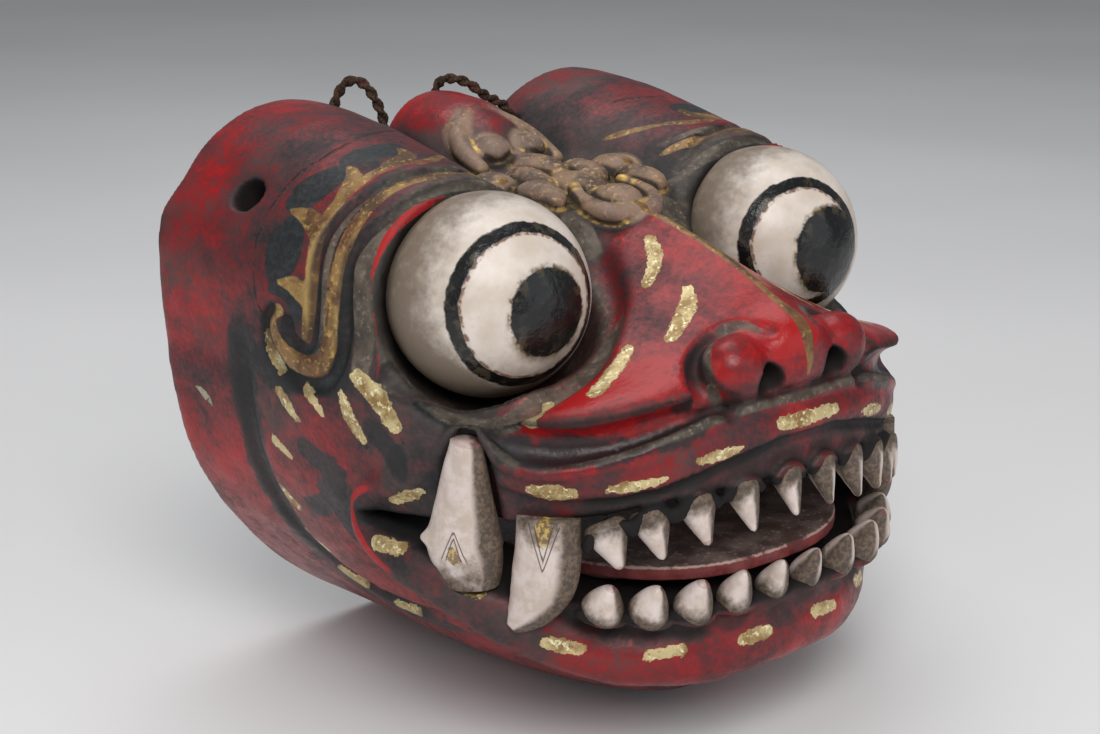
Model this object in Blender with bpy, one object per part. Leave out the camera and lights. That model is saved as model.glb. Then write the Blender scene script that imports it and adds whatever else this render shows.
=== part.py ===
"""Dragon head mask: a hollow carved and lacquered wooden head, open behind, with bulging eyes, an open
toothed mouth, a let-in tongue board, four set-in fangs and two small cord loops over the top edge.

Frame: metres, +Z up, the face looks along -Y, the origin is under the middle of the standing mask.
"""

import math

import bpy
import bmesh
import numpy as np
from mathutils import Matrix, Vector

MM = 0.001

# Driving dimensions of the head, in millimetres
HEAD_WIDTH = 206.0
HEAD_DEPTH = 171.0
HEAD_HEIGHT = 173.0
WALL = 13.0
TIE_HOLE = 10.5
CLEARANCE = 0.3

# Tongue board
TONGUE_THICK = 4.2
TONGUE_LEVEL = 57.0
TONGUE_EAR = 18.0

# Cord loops and their holes
CORD = 3.6
CORD_HOLE = 5.4

# Fineness of the solid
GRID = 2.5
HEAD_TRIANGLES = 5400

# The carving is laid out on a head of this size, then scaled to the driving dimensions:
# x is sideways from the middle, f is forward of the rim, z is up from the table
LAYOUT = (206.0, 171.0, 173.0)

EYE = (55.5, 98.0, 129.7)
EYE_RADIUS = 28.5
TIE_HOLE_AT = (91.0, 33.0, 153.0)
TIE_HOLE_AXIS = (0.80, 0.0, 0.60)
CORD_HOLE_AT = (25.3, 11.0, 151.0)
CORD_HOLE_AXIS = (0.0, 0.0, 1.0)

# Half-width of the block, its reach forward of f = 40 and the squareness of its plan, by height
LEVEL = [-8, 0, 5, 10, 20, 33, 44, 54, 72, 95, 104, 112, 120, 135, 150, 165]
HALF_WIDTH = [6, 15, 31, 43, 58, 72, 81, 88, 96, 100.6, 101.3, 102, 102, 101, 95, 80]
REACH = [40, 64, 82, 93, 105, 115, 124, 125, 125, 126, 121, 105, 82, 60, 50, 44]
SQUARE = [2.2, 2.2, 2.3, 2.5, 2.6, 2.6, 2.3, 2.3, 2.35, 2.4, 2.4, 2.4, 2.4, 2.4, 2.4, 2.4]

# Mouth opening: its lower and upper edge, by distance forward of the rim
MOUTH_F = [78, 84, 90, 102, 115, 127, 135, 146, 156, 166, 180]
MOUTH_LOW = [69, 68.5, 67.5, 65.5, 61, 54, 51, 49.5, 49, 49, 49]
MOUTH_TOP = [69.5, 70.5, 71, 72, 73, 75, 76, 78.5, 82, 84, 84]

# Carved rolls and grooves as rows of (x, f, z, radius)
MIDDLE_LOBE = [
    (0, -10, 149, 20), (0, 17, 150, 20), (0, 36, 138, 19), (0, 60, 128, 19), (0, 80, 125, 19), (0, 100, 125, 18),
]
UPPER_LIP = [
    (0, 161, 98, 7), (17, 160, 97, 7), (28, 157.5, 95, 7), (38, 153.5, 92, 7),
    (46, 149, 89.5, 7), (54, 143, 87.5, 7), (60.5, 136, 87, 7), (67, 128, 88, 7),
]
LOWER_LIP = [
    (0, 153.5, 35, 11.5), (20, 151.5, 34.5, 11.5), (35, 145, 34, 11), (47, 137, 35.5, 10.5),
    (58, 129, 40, 10), (66.5, 122, 46, 10), (74, 115, 52, 9.2), (80.5, 105.5, 56.5, 8),
    (84, 95, 59.5, 6.8), (85.5, 87, 61.5, 5.5), (86.5, 82, 65, 4.5), (87, 81, 70, 4),
    (87, 84, 75, 4.5), (86, 89, 79, 5), (84.5, 96, 82, 5), (83, 104, 86, 4.5),
]
LIP_FILLET = [
    (0, 164, 105, 2.2), (20, 162.5, 104.5, 2.2), (38, 158.5, 100.5, 2.2), (50, 153, 96, 2.2),
    (62, 144, 92, 2.2), (70, 135.5, 90.5, 2.2), (74, 129, 92, 2.2), (77, 124.5, 96, 2.2),
    (79.5, 120, 100.5, 2.2), (82, 115.5, 99.5, 2.2), (83.5, 111.5, 94, 2.2), (84.5, 105.5, 87.5, 2.2),
]
SHELF_RECESS = [
    (26, 163, 109, 2), (38, 160.5, 105.5, 4), (50, 154.5, 101.5, 5), (60, 147, 99, 5),
    (68, 139, 98, 5), (76, 129, 99, 5), (84, 117, 102, 4), (90, 106, 104, 1),
]
CHIN_CREASE = [
    (0, 156, 22, 3.5), (18, 154.5, 22, 3.5), (33, 149, 22.5, 3.5), (45, 142, 24, 3.5),
    (56, 134, 28, 3.5), (65, 126, 33, 3.5), (72, 118, 38, 3.5), (78, 109, 44, 3), (83, 98, 50, 2),
]
EYE_TROUGH = [
    (88, 96, 111, 4), (84.5, 104, 110, 5), (81.5, 111.5, 107.5, 5.5), (77, 119.5, 106.5, 5.5),
    (71.5, 125.5, 108, 5.5), (64, 129.5, 110.5, 5.5), (52, 129.5, 114.5, 5.5), (41, 125, 119, 5.5),
    (32, 119, 124, 5.5), (25, 111.5, 130, 5.5), (20.5, 103, 136, 5),
]
BROW_GROOVE = [
    (22, 93, 146, 2), (30, 91.5, 150.5, 2), (40, 90, 155.5, 2.2), (54.5, 89, 159.2, 2.4),
    (63.8, 87.5, 159.2, 2.4), (72, 85.5, 156.6, 2.4), (79.4, 83, 151.8, 2.4), (84.6, 79.8, 147, 2.4),
    (88.4, 78.3, 140.5, 2.4), (90.4, 79.2, 133, 2.4), (91.4, 80.3, 124, 2.4), (92.2, 80.1, 117, 2.4),
    (93.2, 78.8, 111.5, 2.4), (94.4, 74.6, 106.4, 2.4), (95.3, 66.4, 104.2, 2.4), (96, 58.4, 105.4, 2.2),
    (96.7, 52.6, 109.6, 2.2), (97.4, 49.9, 115, 2), (97.7, 50.5, 121, 1.8), (97.5, 54, 124.5, 1.6),
]
ARCH_GROOVE = [
    (26, 84, 150, 1.6), (36, 80.5, 155.5, 1.8), (46, 77.8, 160, 2), (55, 76.4, 161.8, 2),
    (66, 74.8, 161, 2), (74.3, 72.2, 158, 2), (81.5, 69.2, 153.4, 2), (87, 68.3, 148.1, 2),
    (90.7, 68.3, 142.5, 2), (92.9, 68.8, 135.8, 2), (94, 69.5, 129, 2), (94.7, 69.5, 120.6, 2),
    (95.3, 67.8, 115.8, 2.2), (96, 63.6, 114.4, 2.4), (96.5, 60.2, 117, 2.6), (96.7, 59.5, 121, 2.4),
]
CHEEK_GROOVE = [
    (99, 37, 112, 2), (98.6, 36.5, 102, 3.2), (96.4, 36, 83, 3.6), (92.6, 37, 67, 3.8),
    (84.2, 41, 49.5, 4), (75, 50, 37, 4), (68, 64, 32, 4), (67.5, 80, 31.5, 4), (69, 96, 33, 3.5),
]
ALAR_GROOVE = [
    (8.5, 160.5, 124, 1.5), (11, 156.5, 126, 2.4), (15.5, 153, 125.5, 3), (21, 151.5, 122.8, 3.2),
    (27, 152.5, 118.8, 3.4), (31.5, 156.5, 114.2, 3.6), (32, 161, 109.5, 3.6), (26, 163, 106, 3.4),
]
FANG_BED = [(78, 118, 61, 7), (78.5, 118.5, 70, 8.5), (80, 118.5, 80, 8.5), (81, 119, 90, 7), (81, 119.5, 98, 3.5)]

# Crest ornament on the forehead: an arched leaf, knobs, petals and a cup in front
ARCH_LEAF = [(0, 23.5, 163.5, 3), (6, 25, 163, 3), (11, 29, 161, 3), (14.5, 36, 156.5, 3), (15, 45, 152, 2.6)]
CUP_RIM = [(0, 100, 145, 3), (7, 98, 145.5, 3), (11.5, 93, 147, 3), (12, 87, 149, 2.6), (9.5, 82, 151, 2.2)]
KNOBS = [
    ((7, 40, 156.5), (5.5, 7, 4)), ((0, 54, 152.5), (6.5, 12, 4)), ((11, 63, 149.5), (6, 10, 5.5)),
    ((0, 72, 149), (8, 11, 4.5)), ((24, 62, 150), (7, 8, 5)), ((20, 79, 149.5), (5.5, 10, 4.5)),
    ((0, 90, 147.5), (7.5, 8, 5)),
]

# Small teeth as root, tip and width: the pairs stand at these places from the middle outward
TEETH_X = [6.9, 21.2, 34.5, 46.0, 55.5]
UPPER_ROOT = [(164, 88), (161, 86.5), (157, 84), (151.5, 81), (144.5, 77.5)]
UPPER_TIP = [(170.43, 73.6), (168.3, 71.8), (164.2, 70), (158.8, 67.4), (152.6, 65.2)]
UPPER_WIDTH = [8.1, 8.9, 9.8, 9.8, 11]
LOWER_ROOT = [(160, 47), (159.5, 47), (157, 47), (151.5, 47.5), (144, 48.5)]
LOWER_TIP = [(166.5, 59), (165.5, 59.5), (163, 59.5), (157.5, 59), (149, 59)]
LOWER_WIDTH = [8.1, 8.9, 9.8, 10.2, 10.6]

# Fangs as rows of (x, f, z, radius) from the root to the tip
LOWER_FANG = [
    (77.6, 116.8, 56, 8), (78, 116.6, 62, 9.6), (78.6, 115.6, 67.5, 10.8), (79.3, 116.3, 74, 9.6),
    (80.2, 117.4, 82, 7.8), (81.3, 118.8, 90, 6.2), (82, 120, 98, 4.4),
]
UPPER_FANG = [
    (66, 135.6, 78, 8.8), (66.4, 135.8, 68, 9.2), (67.4, 135.1, 60, 9.1), (69.8, 133.4, 53.5, 7.3),
    (72.8, 131.5, 48.8, 4.6), (75.4, 130.1, 46, 1.6),
]
FANG_FLATNESS = 0.66
FANG_FACES = (0.86, 0.51, 0.0)

# The cord loops, each up out of its hole, over the rim, down behind it and back through the wall.
# Both lean to the mask's right; the left one lies over the middle lobe
CORD_LEFT = [
    (25.3, 11, 151), (25.3, 11, 158), (24.9, 10.9, 161.4), (22.9, 10.5, 164.2), (19.9, 10, 166),
    (16.7, 9.6, 167.6), (13.6, 8.8, 169.8), (11.5, 7, 171.8), (9, 4.6, 173.2), (6.8, 1.8, 173.4), (5.7, -1.4, 172),
    (5.5, -3.3, 168.4), (6, -4, 163), (8.2, -4.1, 156), (11.8, -4, 149), (15.3, -2.6, 143.2), (18.4, 1, 139.4),
    (21.3, 5.6, 138.2), (24, 9.6, 139.2), (25.2, 10.9, 143.4),
]
CORD_RIGHT = [
    (-25.3, 11, 151), (-25.3, 11, 157.5), (-26, 11, 163), (-26.6, 10.5, 166.6), (-27.8, 9, 170.8),
    (-29, 6.2, 174.6), (-30.4, 3.2, 176.2), (-32, 0.2, 175.6), (-33.4, -2, 172.8), (-34.6, -3.4, 168.2),
    (-35, -4.1, 161), (-34.2, -4, 153), (-32.8, -2.8, 146.2), (-31, 0.4, 141), (-28.4, 5, 138.8),
    (-26.2, 9.4, 139.4), (-25.4, 10.9, 143.4),
]

LACQUER_RED = (0.33, 0.025, 0.02, 1)
IVORY = (0.62, 0.54, 0.42, 1)
CORD_BROWN = (0.06, 0.04, 0.03, 1)


# Field tools: distances are negative inside the wood

def blend_min(a, b, k):
    h = np.clip(0.5 + 0.5 * (b - a) / k, 0, 1)
    return b + (a - b) * h - k * h * (1 - h)


def blend_max(a, b, k):
    return -blend_min(-a, -b, k)


def smooth_row(rows, pieces=3):
    """Catmull-Rom curve through the rows, with every column (a radius too) carried along."""
    points = np.asarray(rows, float)
    ends = np.vstack([2 * points[0] - points[1], points, 2 * points[-1] - points[-2]])
    out = []
    for i in range(1, len(ends) - 2):
        t = np.linspace(0, 1, pieces, endpoint=False)[:, None]
        a, b, c, d = ends[i - 1:i + 3]
        out.append(
            0.5 * (2 * b + (c - a) * t + (2 * a - 5 * b + 4 * c - d) * t ** 2 + (3 * b - a - 3 * c + d) * t ** 3)
        )
    out.append(points[-1:])
    return np.vstack(out)


def table(value, xs, ys):
    """Smooth curve through a short table, read at value."""
    row = smooth_row(np.stack([xs, ys], 1), 8)
    return np.interp(value, row[:, 0], row[:, 1]).astype(np.float32)


def ellipsoid(p, centre, radii):
    q = [(p[i] - centre[i]) / radii[i] for i in range(3)]
    k0 = np.sqrt(q[0] ** 2 + q[1] ** 2 + q[2] ** 2)
    k1 = np.sqrt(sum((q[i] / radii[i]) ** 2 for i in range(3)))
    return k0 * (k0 - 1) / np.maximum(k1, 1e-6)


def roll(p, rows):
    """Distance to a round roll whose centre line and radius follow the rows."""
    best = np.full(p[0].shape, 1e9, np.float32)
    for a, b in zip(rows[:-1], rows[1:]):
        run = b[:3] - a[:3]
        length = max(float(run @ run), 1e-9)
        t = np.clip(sum((p[i] - a[i]) * run[i] for i in range(3)) / length, 0, 1)
        off = np.sqrt(sum((p[i] - a[i] - t * run[i]) ** 2 for i in range(3)))
        best = np.minimum(best, off - (a[3] + t * (b[3] - a[3])))
    return best


def near(p, d, rows, reach, change):
    """Changes the field d only in the box around the rows, which keeps the work small."""
    low, high = rows[:, :3].min(0) - reach, rows[:, :3].max(0) + reach
    inside = np.ones(d.shape, bool)
    for i in range(3):
        inside &= (p[i] >= low[i]) & (p[i] <= high[i])
    if inside.any():
        d[inside] = change([a[inside] for a in p], d[inside])
    return d


def add_roll(p, d, rows, k):
    rows = smooth_row(rows)
    return near(p, d, rows, rows[:, 3].max() + 3 * k, lambda q, e: blend_min(e, roll(q, rows), k))


def cut_groove(p, d, rows, k):
    rows = smooth_row(rows)
    return near(p, d, rows, rows[:, 3].max() + 3 * k, lambda q, e: blend_max(e, -roll(q, rows), k))


def add_knob(p, d, centre, radii, k):
    spot = np.array([centre + (0,)], float)
    return near(p, d, spot, max(radii) + 3 * k, lambda q, e: blend_min(e, ellipsoid(q, centre, radii), k))


# The carved head

def superellipse(u, v, power):
    return (np.abs(u) ** power + np.abs(v) ** power) ** (1 / power)


def block_field(p, top=148):
    """The rounded block, drawn out to a blunt muzzle in front and cut off at the top."""
    x, f, z = p
    half = table(z, LEVEL, HALF_WIDTH)
    reach = table(z, LEVEL, REACH)
    u = x / (half * (1 - 0.05 * np.clip(f / 40, 0, 1)))
    v = np.maximum(f - 40, 0) / reach
    body = (superellipse(u, v, table(z, LEVEL, SQUARE)) - 1) * np.minimum(half, reach) * 0.93
    return blend_max(body, z - top, 8)


def lobe_field(p):
    """The long round lobe over each eye."""
    x, f, z = p
    radius = table(f, [-10, 0, 12, 35, 60, 80, 97], [42, 42, 42, 40, 36, 33, 31])
    height = table(f, [-10, 0, 35, 80, 97], [131, 131, 130, 128, 128])
    return blend_max(np.sqrt((x - 57) ** 2 + (z - height) ** 2) - radius, f - 91, 5)


def outer_field(p):
    """Block, lobes and the smaller lobe between them, before any carving."""
    d = blend_min(lobe_field(p), roll(p, smooth_row(MIDDLE_LOBE)), 7)
    return blend_min(block_field(p), d, 8)


def snout_field(p):
    """Roof-shaped snout whose lower edge rolls over as a shelf."""
    x, f, z = p
    side = 80 * (1 - np.clip((f - 100) / 66, 0, 1) ** 2.6) ** (1 / 2.6)
    across = np.clip(x / np.maximum(side, 4), 0, 1)
    crest = table(f, [96, 106, 114, 137, 158, 164, 172], [146, 147, 145, 138, 128, 125, 118])
    edge = table(f, [96, 130, 168], [104, 106, 113])
    top = crest - (crest - edge) * (1 - (1 - across) ** 1.4)
    plan = (superellipse(x / 80, np.maximum(f - 100, 0) / 66, 2.6) - 1) * 55
    d = blend_max((z - top) * 0.86, plan, 7)
    d = blend_max(d, table(f, [96, 130, 168], [97, 100, 108]) - z, 5)
    return blend_max(d, 60 - f, 8)


def mouth_field(p):
    x, f, z = p
    opening = blend_max(table(f, MOUTH_F, MOUTH_LOW) - z, z - table(f, MOUTH_F, MOUTH_TOP), 2)
    return blend_max(opening, 81 - f, 3)


def hollow_field(p, wall):
    """The inside: the outer form drawn in by the wall, open behind, kept off the eye sockets."""
    x, f, z = p
    ceiling = table(f, [-10, 40, 70, 100], [157, 153, 146, 137]) - wall
    d = blend_max(block_field(p, 200) + wall, z - ceiling, 8)
    d = blend_max(blend_min(d, lobe_field(p) + wall, 10), f - 147 + wall, 8)
    d = blend_max(d, 3 + wall - z, 8)
    return blend_max(d, -ellipsoid(p, EYE, (EYE_RADIUS + wall,) * 3), 4)


def head_field(p, wall):
    x, f, z = p
    d = blend_min(outer_field(p), snout_field(p), 3)
    d = add_roll(p, d, UPPER_LIP, 2.5)
    d = add_roll(p, d, LOWER_LIP, 2.5)
    d = blend_max(d, -ellipsoid(p, (57, 103, 129), (33, 26, 32)), 4)
    d = cut_groove(p, d, EYE_TROUGH, 3)
    d = cut_groove(p, d, BROW_GROOVE, 0.8)
    d = cut_groove(p, d, ARCH_GROOVE, 0.8)
    d = cut_groove(p, d, CHEEK_GROOVE, 2)
    d = cut_groove(p, d, CHIN_CREASE, 1.5)
    d = cut_groove(p, d, SHELF_RECESS, 1.5)
    d = add_roll(p, d, LIP_FILLET, 1)
    d = cut_groove(p, d, FANG_BED, 2)
    # nose: a bulb under the crest, flared wings and nostrils
    d = add_knob(p, d, (0, 157, 117), (11, 9.5, 9.5), 4)
    d = cut_groove(p, d, ALAR_GROOVE, 1.5)
    d = add_knob(p, d, (20.5, 157.5, 115), (9, 8.5, 8.5), 2)
    nostril = smooth_row([(12.5, 168, 110, 4.4), (13, 160, 113, 4), (14, 153, 116, 2.6)])
    d = near(p, d, nostril, 8, lambda q, e: blend_max(e, -roll(q, nostril), 1.2))
    # crest ornament
    d = add_roll(p, d, ARCH_LEAF, 1.5)
    d = add_roll(p, d, CUP_RIM, 1.2)
    for centre, radii in KNOBS:
        d = add_knob(p, d, centre, radii, 1.5)
    d = blend_max(d, -mouth_field(p), 2)
    d = blend_max(d, -hollow_field(p, wall), 2)
    d = blend_max(d, -6 - f, 2)
    return blend_max(d, -6 - z, 2)


# Meshing of the field

def sampled_head(step):
    """Field values on a grid over the whole head; one half is worked out and mirrored."""
    half = np.arange(step / 2, 112, step)
    forward = np.arange(-10, 184, step)
    up = np.arange(-10, 186, step)
    scale = [size / nominal for size, nominal in zip((HEAD_WIDTH, HEAD_DEPTH, HEAD_HEIGHT), LAYOUT)]
    wall = WALL / (sum(scale) / 3)
    p = [a.astype(np.float32) for a in np.meshgrid(half, forward, up, indexing="ij")]
    values = head_field(p, wall)
    values = np.concatenate([values[::-1], values], 0)
    return values, np.array([-half[-1], forward[0], up[0]])


def field_mesh(values, origin, step):
    """Closed triangle mesh around the negative values, by marching tetrahedra."""
    values = np.where(np.abs(values) < 1e-4, 1e-4, values)
    shape = values.shape
    flat = values.reshape(-1)
    inside = values < 0
    corner_offsets = [(k & 1, (k >> 1) & 1, (k >> 2) & 1) for k in range(8)]
    count = sum(
        inside[i:shape[0] - 1 + i, j:shape[1] - 1 + j, k:shape[2] - 1 + k].astype(np.int8)
        for i, j, k in corner_offsets
    )
    cells = np.argwhere((count > 0) & (count < 8))
    stride = np.array([shape[1] * shape[2], shape[2], 1])
    corners = np.stack([(cells + np.array(o)) @ stride for o in corner_offsets], 1)
    paths = [(0, 1, 3, 7), (0, 1, 5, 7), (0, 2, 3, 7), (0, 2, 6, 7), (0, 4, 5, 7), (0, 4, 6, 7)]
    tets = np.concatenate([corners[:, list(path)] for path in paths])
    solid = flat[tets] < 0
    number = solid.sum(1)
    keep = (number > 0) & (number < 4)
    tets, solid, number = tets[keep], solid[keep], number[keep]
    order = np.argsort(~solid, axis=1, kind="stable")
    tets = np.take_along_axis(tets, order, 1)
    faces = {
        1: [((0, 1), (0, 2), (0, 3))],
        2: [((0, 2), (0, 3), (1, 3)), ((0, 2), (1, 3), (1, 2))],
        3: [((0, 3), (1, 3), (2, 3))],
    }
    edges, insides, outsides = [], [], []
    for n, triangles in faces.items():
        t = tets[number == n]
        for triangle in triangles:
            edges.append(np.stack([t[:, list(edge)] for edge in triangle], 1))
            insides.append(t[:, 0])
            outsides.append(t[:, 3])
    edges = np.concatenate(edges)
    pairs, index = np.unique(np.sort(edges.reshape(-1, 2), 1), axis=0, return_inverse=True)
    triangles = index.reshape(-1, 3)

    def place(ids):
        return np.stack(np.unravel_index(ids, shape), -1) * step + origin

    a, b = flat[pairs[:, 0]], flat[pairs[:, 1]]
    share = np.clip(a / (a - b), 0.02, 0.98)[:, None]
    points = place(pairs[:, 0]) * (1 - share) + place(pairs[:, 1]) * share
    corner = points[triangles]
    normal = np.cross(corner[:, 1] - corner[:, 0], corner[:, 2] - corner[:, 0])
    outward = place(np.concatenate(outsides)) - place(np.concatenate(insides))
    turned = (normal * outward).sum(1) < 0
    triangles[turned] = triangles[turned][:, ::-1]
    return points, triangles


# From the layout to the world

def head_scale():
    """How far the driving dimensions stretch the layout, along x, f and z."""
    return np.array([size / nominal for size, nominal in zip((HEAD_WIDTH, HEAD_DEPTH, HEAD_HEIGHT), LAYOUT)])


def to_world(points, stretched=True):
    """Layout rows (x, f, z) to metres in the part's frame, or in that of the layout's own size."""
    points = np.atleast_2d(np.asarray(points, float))
    q = points[:, :3] * (head_scale() if stretched else 1) * MM
    depth = HEAD_DEPTH if stretched else LAYOUT[1]
    return np.stack([q[:, 0], depth / 2 * MM - q[:, 1], q[:, 2]], 1)


def mirrored(rows, side):
    rows = np.array(rows, float)
    rows[:, 0] *= side
    return rows


# Scene and object helpers

def clear_scene():
    for ob in list(bpy.data.objects):
        bpy.data.objects.remove(ob, do_unlink=True)


def collection(name):
    made = bpy.data.collections.new(name)
    bpy.context.scene.collection.children.link(made)
    return made


def finish_material(name, colour, roughness, metallic=0.0):
    material = bpy.data.materials.new(name)
    material.use_nodes = True
    shader = material.node_tree.nodes["Principled BSDF"]
    shader.inputs["Base Color"].default_value = colour
    shader.inputs["Roughness"].default_value = roughness
    shader.inputs["Metallic"].default_value = metallic
    return material


def place_object(name, mesh, into, material=None):
    ob = bpy.data.objects.new(name, mesh)
    into.objects.link(ob)
    if material:
        mesh.materials.clear()
        mesh.materials.append(material)
    return ob


def smooth_shading(mesh, degrees=40):
    mesh.shade_smooth()
    mesh.set_sharp_from_angle(angle=math.radians(degrees))


def evaluated_mesh(ob, name, flat_caps=False):
    """The object's mesh with its modifiers or its curve's bevel worked out, and its caps welded."""
    graph = bpy.context.evaluated_depsgraph_get()
    mesh = bpy.data.meshes.new_from_object(ob.evaluated_get(graph))
    mesh.name = name
    mesh.transform(ob.matrix_world)
    bm = bmesh.new()
    bm.from_mesh(mesh)
    bmesh.ops.remove_doubles(bm, verts=bm.verts, dist=1e-6)
    if flat_caps:
        bmesh.ops.dissolve_limit(bm, angle_limit=math.radians(0.5), verts=bm.verts, edges=bm.edges)
    bmesh.ops.recalc_face_normals(bm, faces=bm.faces)
    bm.to_mesh(mesh)
    bm.free()
    return mesh


def tapered_mesh(name, rows, into, sides=2, extra=0.0):
    """A round tapering form through layout rows (x, f, z, radius in mm), stretched as the head is.

    Extra widens and lengthens it.
    """
    points = to_world(rows, stretched=False)
    curve = bpy.data.curves.new(name, "CURVE")
    curve.dimensions = "3D"
    curve.bevel_depth = MM
    curve.bevel_resolution = sides
    curve.use_fill_caps = True
    spline = curve.splines.new("POLY")
    spline.points.add(len(points) - 1)
    lengthening = [points[0] - points[1], points[-1] - points[-2]]
    for i, at in ((0, 0), (-1, 1)):
        points[i] += lengthening[at] / np.linalg.norm(lengthening[at]) * extra * MM
    for point, row, co in zip(spline.points, rows, points):
        point.co = (*co, 1)
        point.radius = row[3] + extra
    ob = bpy.data.objects.new(name, curve)
    into.objects.link(ob)
    bpy.context.view_layer.update()
    mesh = evaluated_mesh(ob, name)
    mesh.transform(Matrix.Diagonal((*head_scale(), 1)))
    bpy.data.objects.remove(ob)
    bpy.data.curves.remove(curve)
    return mesh


def joined_mesh(name, meshes):
    bm = bmesh.new()
    for mesh in meshes:
        bm.from_mesh(mesh)
    out = bpy.data.meshes.new(name)
    bm.to_mesh(out)
    bm.free()
    smooth_shading(out)
    return out


def boolean(ob, cutter, operation):
    modifier = ob.modifiers.new(cutter.name, "BOOLEAN")
    modifier.operation = operation
    modifier.solver = "EXACT"
    modifier.object = cutter


def hide_cutter(ob):
    ob.hide_render = True
    ob.display_type = "WIRE"


# Cutters and added forms

def box_mesh(name, low, high):
    bm = bmesh.new()
    bmesh.ops.create_cube(bm, size=1)
    low, high = Vector(low), Vector(high)
    for vert in bm.verts:
        vert.co = Vector(c * s for c, s in zip(vert.co, high - low)) + (low + high) / 2
    mesh = bpy.data.meshes.new(name)
    bm.to_mesh(mesh)
    bm.free()
    return mesh


def drill_mesh(name, at, axis, diameter, depth, side):
    """A round cutter through a layout point, along a layout direction."""
    centre = Vector(to_world(mirrored([at], side))[0])
    direction = Vector((axis[0] * side, -axis[1], axis[2])).normalized()
    bm = bmesh.new()
    bmesh.ops.create_cone(
        bm, cap_ends=True, segments=14, radius1=diameter / 2 * MM, radius2=diameter / 2 * MM, depth=depth * MM
    )
    turn = Vector((0, 0, 1)).rotation_difference(direction).to_matrix().to_4x4()
    bm.transform(Matrix.Translation(centre) @ turn)
    mesh = bpy.data.meshes.new(name)
    bm.to_mesh(mesh)
    bm.free()
    return mesh


def eye_mesh(name, side):
    bm = bmesh.new()
    bmesh.ops.create_uvsphere(bm, u_segments=22, v_segments=11, radius=EYE_RADIUS * MM)
    bm.transform(Matrix.Rotation(math.radians(90), 4, "X"))
    bm.transform(Matrix.Translation(Vector(to_world(mirrored([EYE], side))[0])))
    mesh = bpy.data.meshes.new(name)
    bm.to_mesh(mesh)
    bm.free()
    return mesh


def tooth_rows(x, root, tip, width):
    """A peg tooth: full at the root, drawn in to a blunt point."""
    root, tip = np.array((x,) + root, float), np.array((x,) + tip, float)
    shares = [(-0.25, 0.40), (0.25, 0.50), (0.62, 0.36), (1.0, 0.09)]
    return [tuple(root + (tip - root) * along) + (width * wide,) for along, wide in shares]


def teeth_meshes(into):
    made = []
    rows = list(zip(TEETH_X, UPPER_ROOT, UPPER_TIP, UPPER_WIDTH)) + list(zip(TEETH_X, LOWER_ROOT, LOWER_TIP, LOWER_WIDTH))
    for x, root, tip, width in rows:
        for side in (-1, 1):
            made.append(tapered_mesh("tooth", tooth_rows(x * side, root, tip, width), into, 1))
    return made


def fang_mesh(name, rows, side, into, extra=0.0):
    """A curved fang, flattened towards the cheek it stands on."""
    mesh = tapered_mesh(name, mirrored(rows, side), into, 3, extra)
    pivot = Vector(to_world(mirrored([rows[2]], side))[0])
    facing = Vector((FANG_FACES[0] * side, -FANG_FACES[1], 0)).normalized()
    flat = FANG_FLATNESS if not extra else FANG_FLATNESS + (1 - FANG_FLATNESS) * extra / 8
    mesh.transform(Matrix.Translation(pivot) @ Matrix.Scale(flat, 4, facing) @ Matrix.Translation(-pivot))
    return mesh


def tongue_outline(grow):
    """Half plan of the tongue board: a blunt front arc, then an ear that is let into the cheek."""
    half, back, front = 56.0, 84.0, 158.5
    ear_out, ear_from = 72.0, 88.0
    reach = front - back
    turns = [math.radians(a) for a in range(0, 71, 7)]
    arc = [(half * math.sin(a) ** 0.8, back + reach * math.cos(a) ** 0.8) for a in turns]
    ear_to = ear_from + TONGUE_EAR
    ear_root = half * (1 - ((ear_to - back) / reach) ** 2.5) ** 0.4
    row = [(x + grow * x / half, f + grow) for x, f in arc if f > ear_to + 2]
    row += [(ear_root + grow, ear_to + grow), (ear_out + grow, ear_to + grow), (ear_out + grow, ear_from - grow)]
    return row + [(half + grow, ear_from - grow), (half + grow, back - grow)]


def tongue_mesh(name, into, grow=0.0):
    half = tongue_outline(grow)
    outline = half + [(-x, f) for x, f in reversed(half) if x > 1e-6]
    thick = TONGUE_THICK / 2 + grow
    curve = bpy.data.curves.new(name, "CURVE")
    curve.dimensions = "2D"
    curve.fill_mode = "BOTH"
    curve.extrude = thick * MM
    spline = curve.splines.new("POLY")
    spline.points.add(len(outline) - 1)
    for point, (x, f) in zip(spline.points, outline):
        co = to_world([(x, f, 0)])[0]
        point.co = (co[0], co[1], 0, 1)
    spline.use_cyclic_u = True
    ob = bpy.data.objects.new(name, curve)
    ob.location.z = to_world([(0, 0, TONGUE_LEVEL)])[0][2]
    into.objects.link(ob)
    bpy.context.view_layer.update()
    mesh = evaluated_mesh(ob, name, flat_caps=True)
    bpy.data.objects.remove(ob)
    bpy.data.curves.remove(curve)
    return mesh


# Sub-parts

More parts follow.
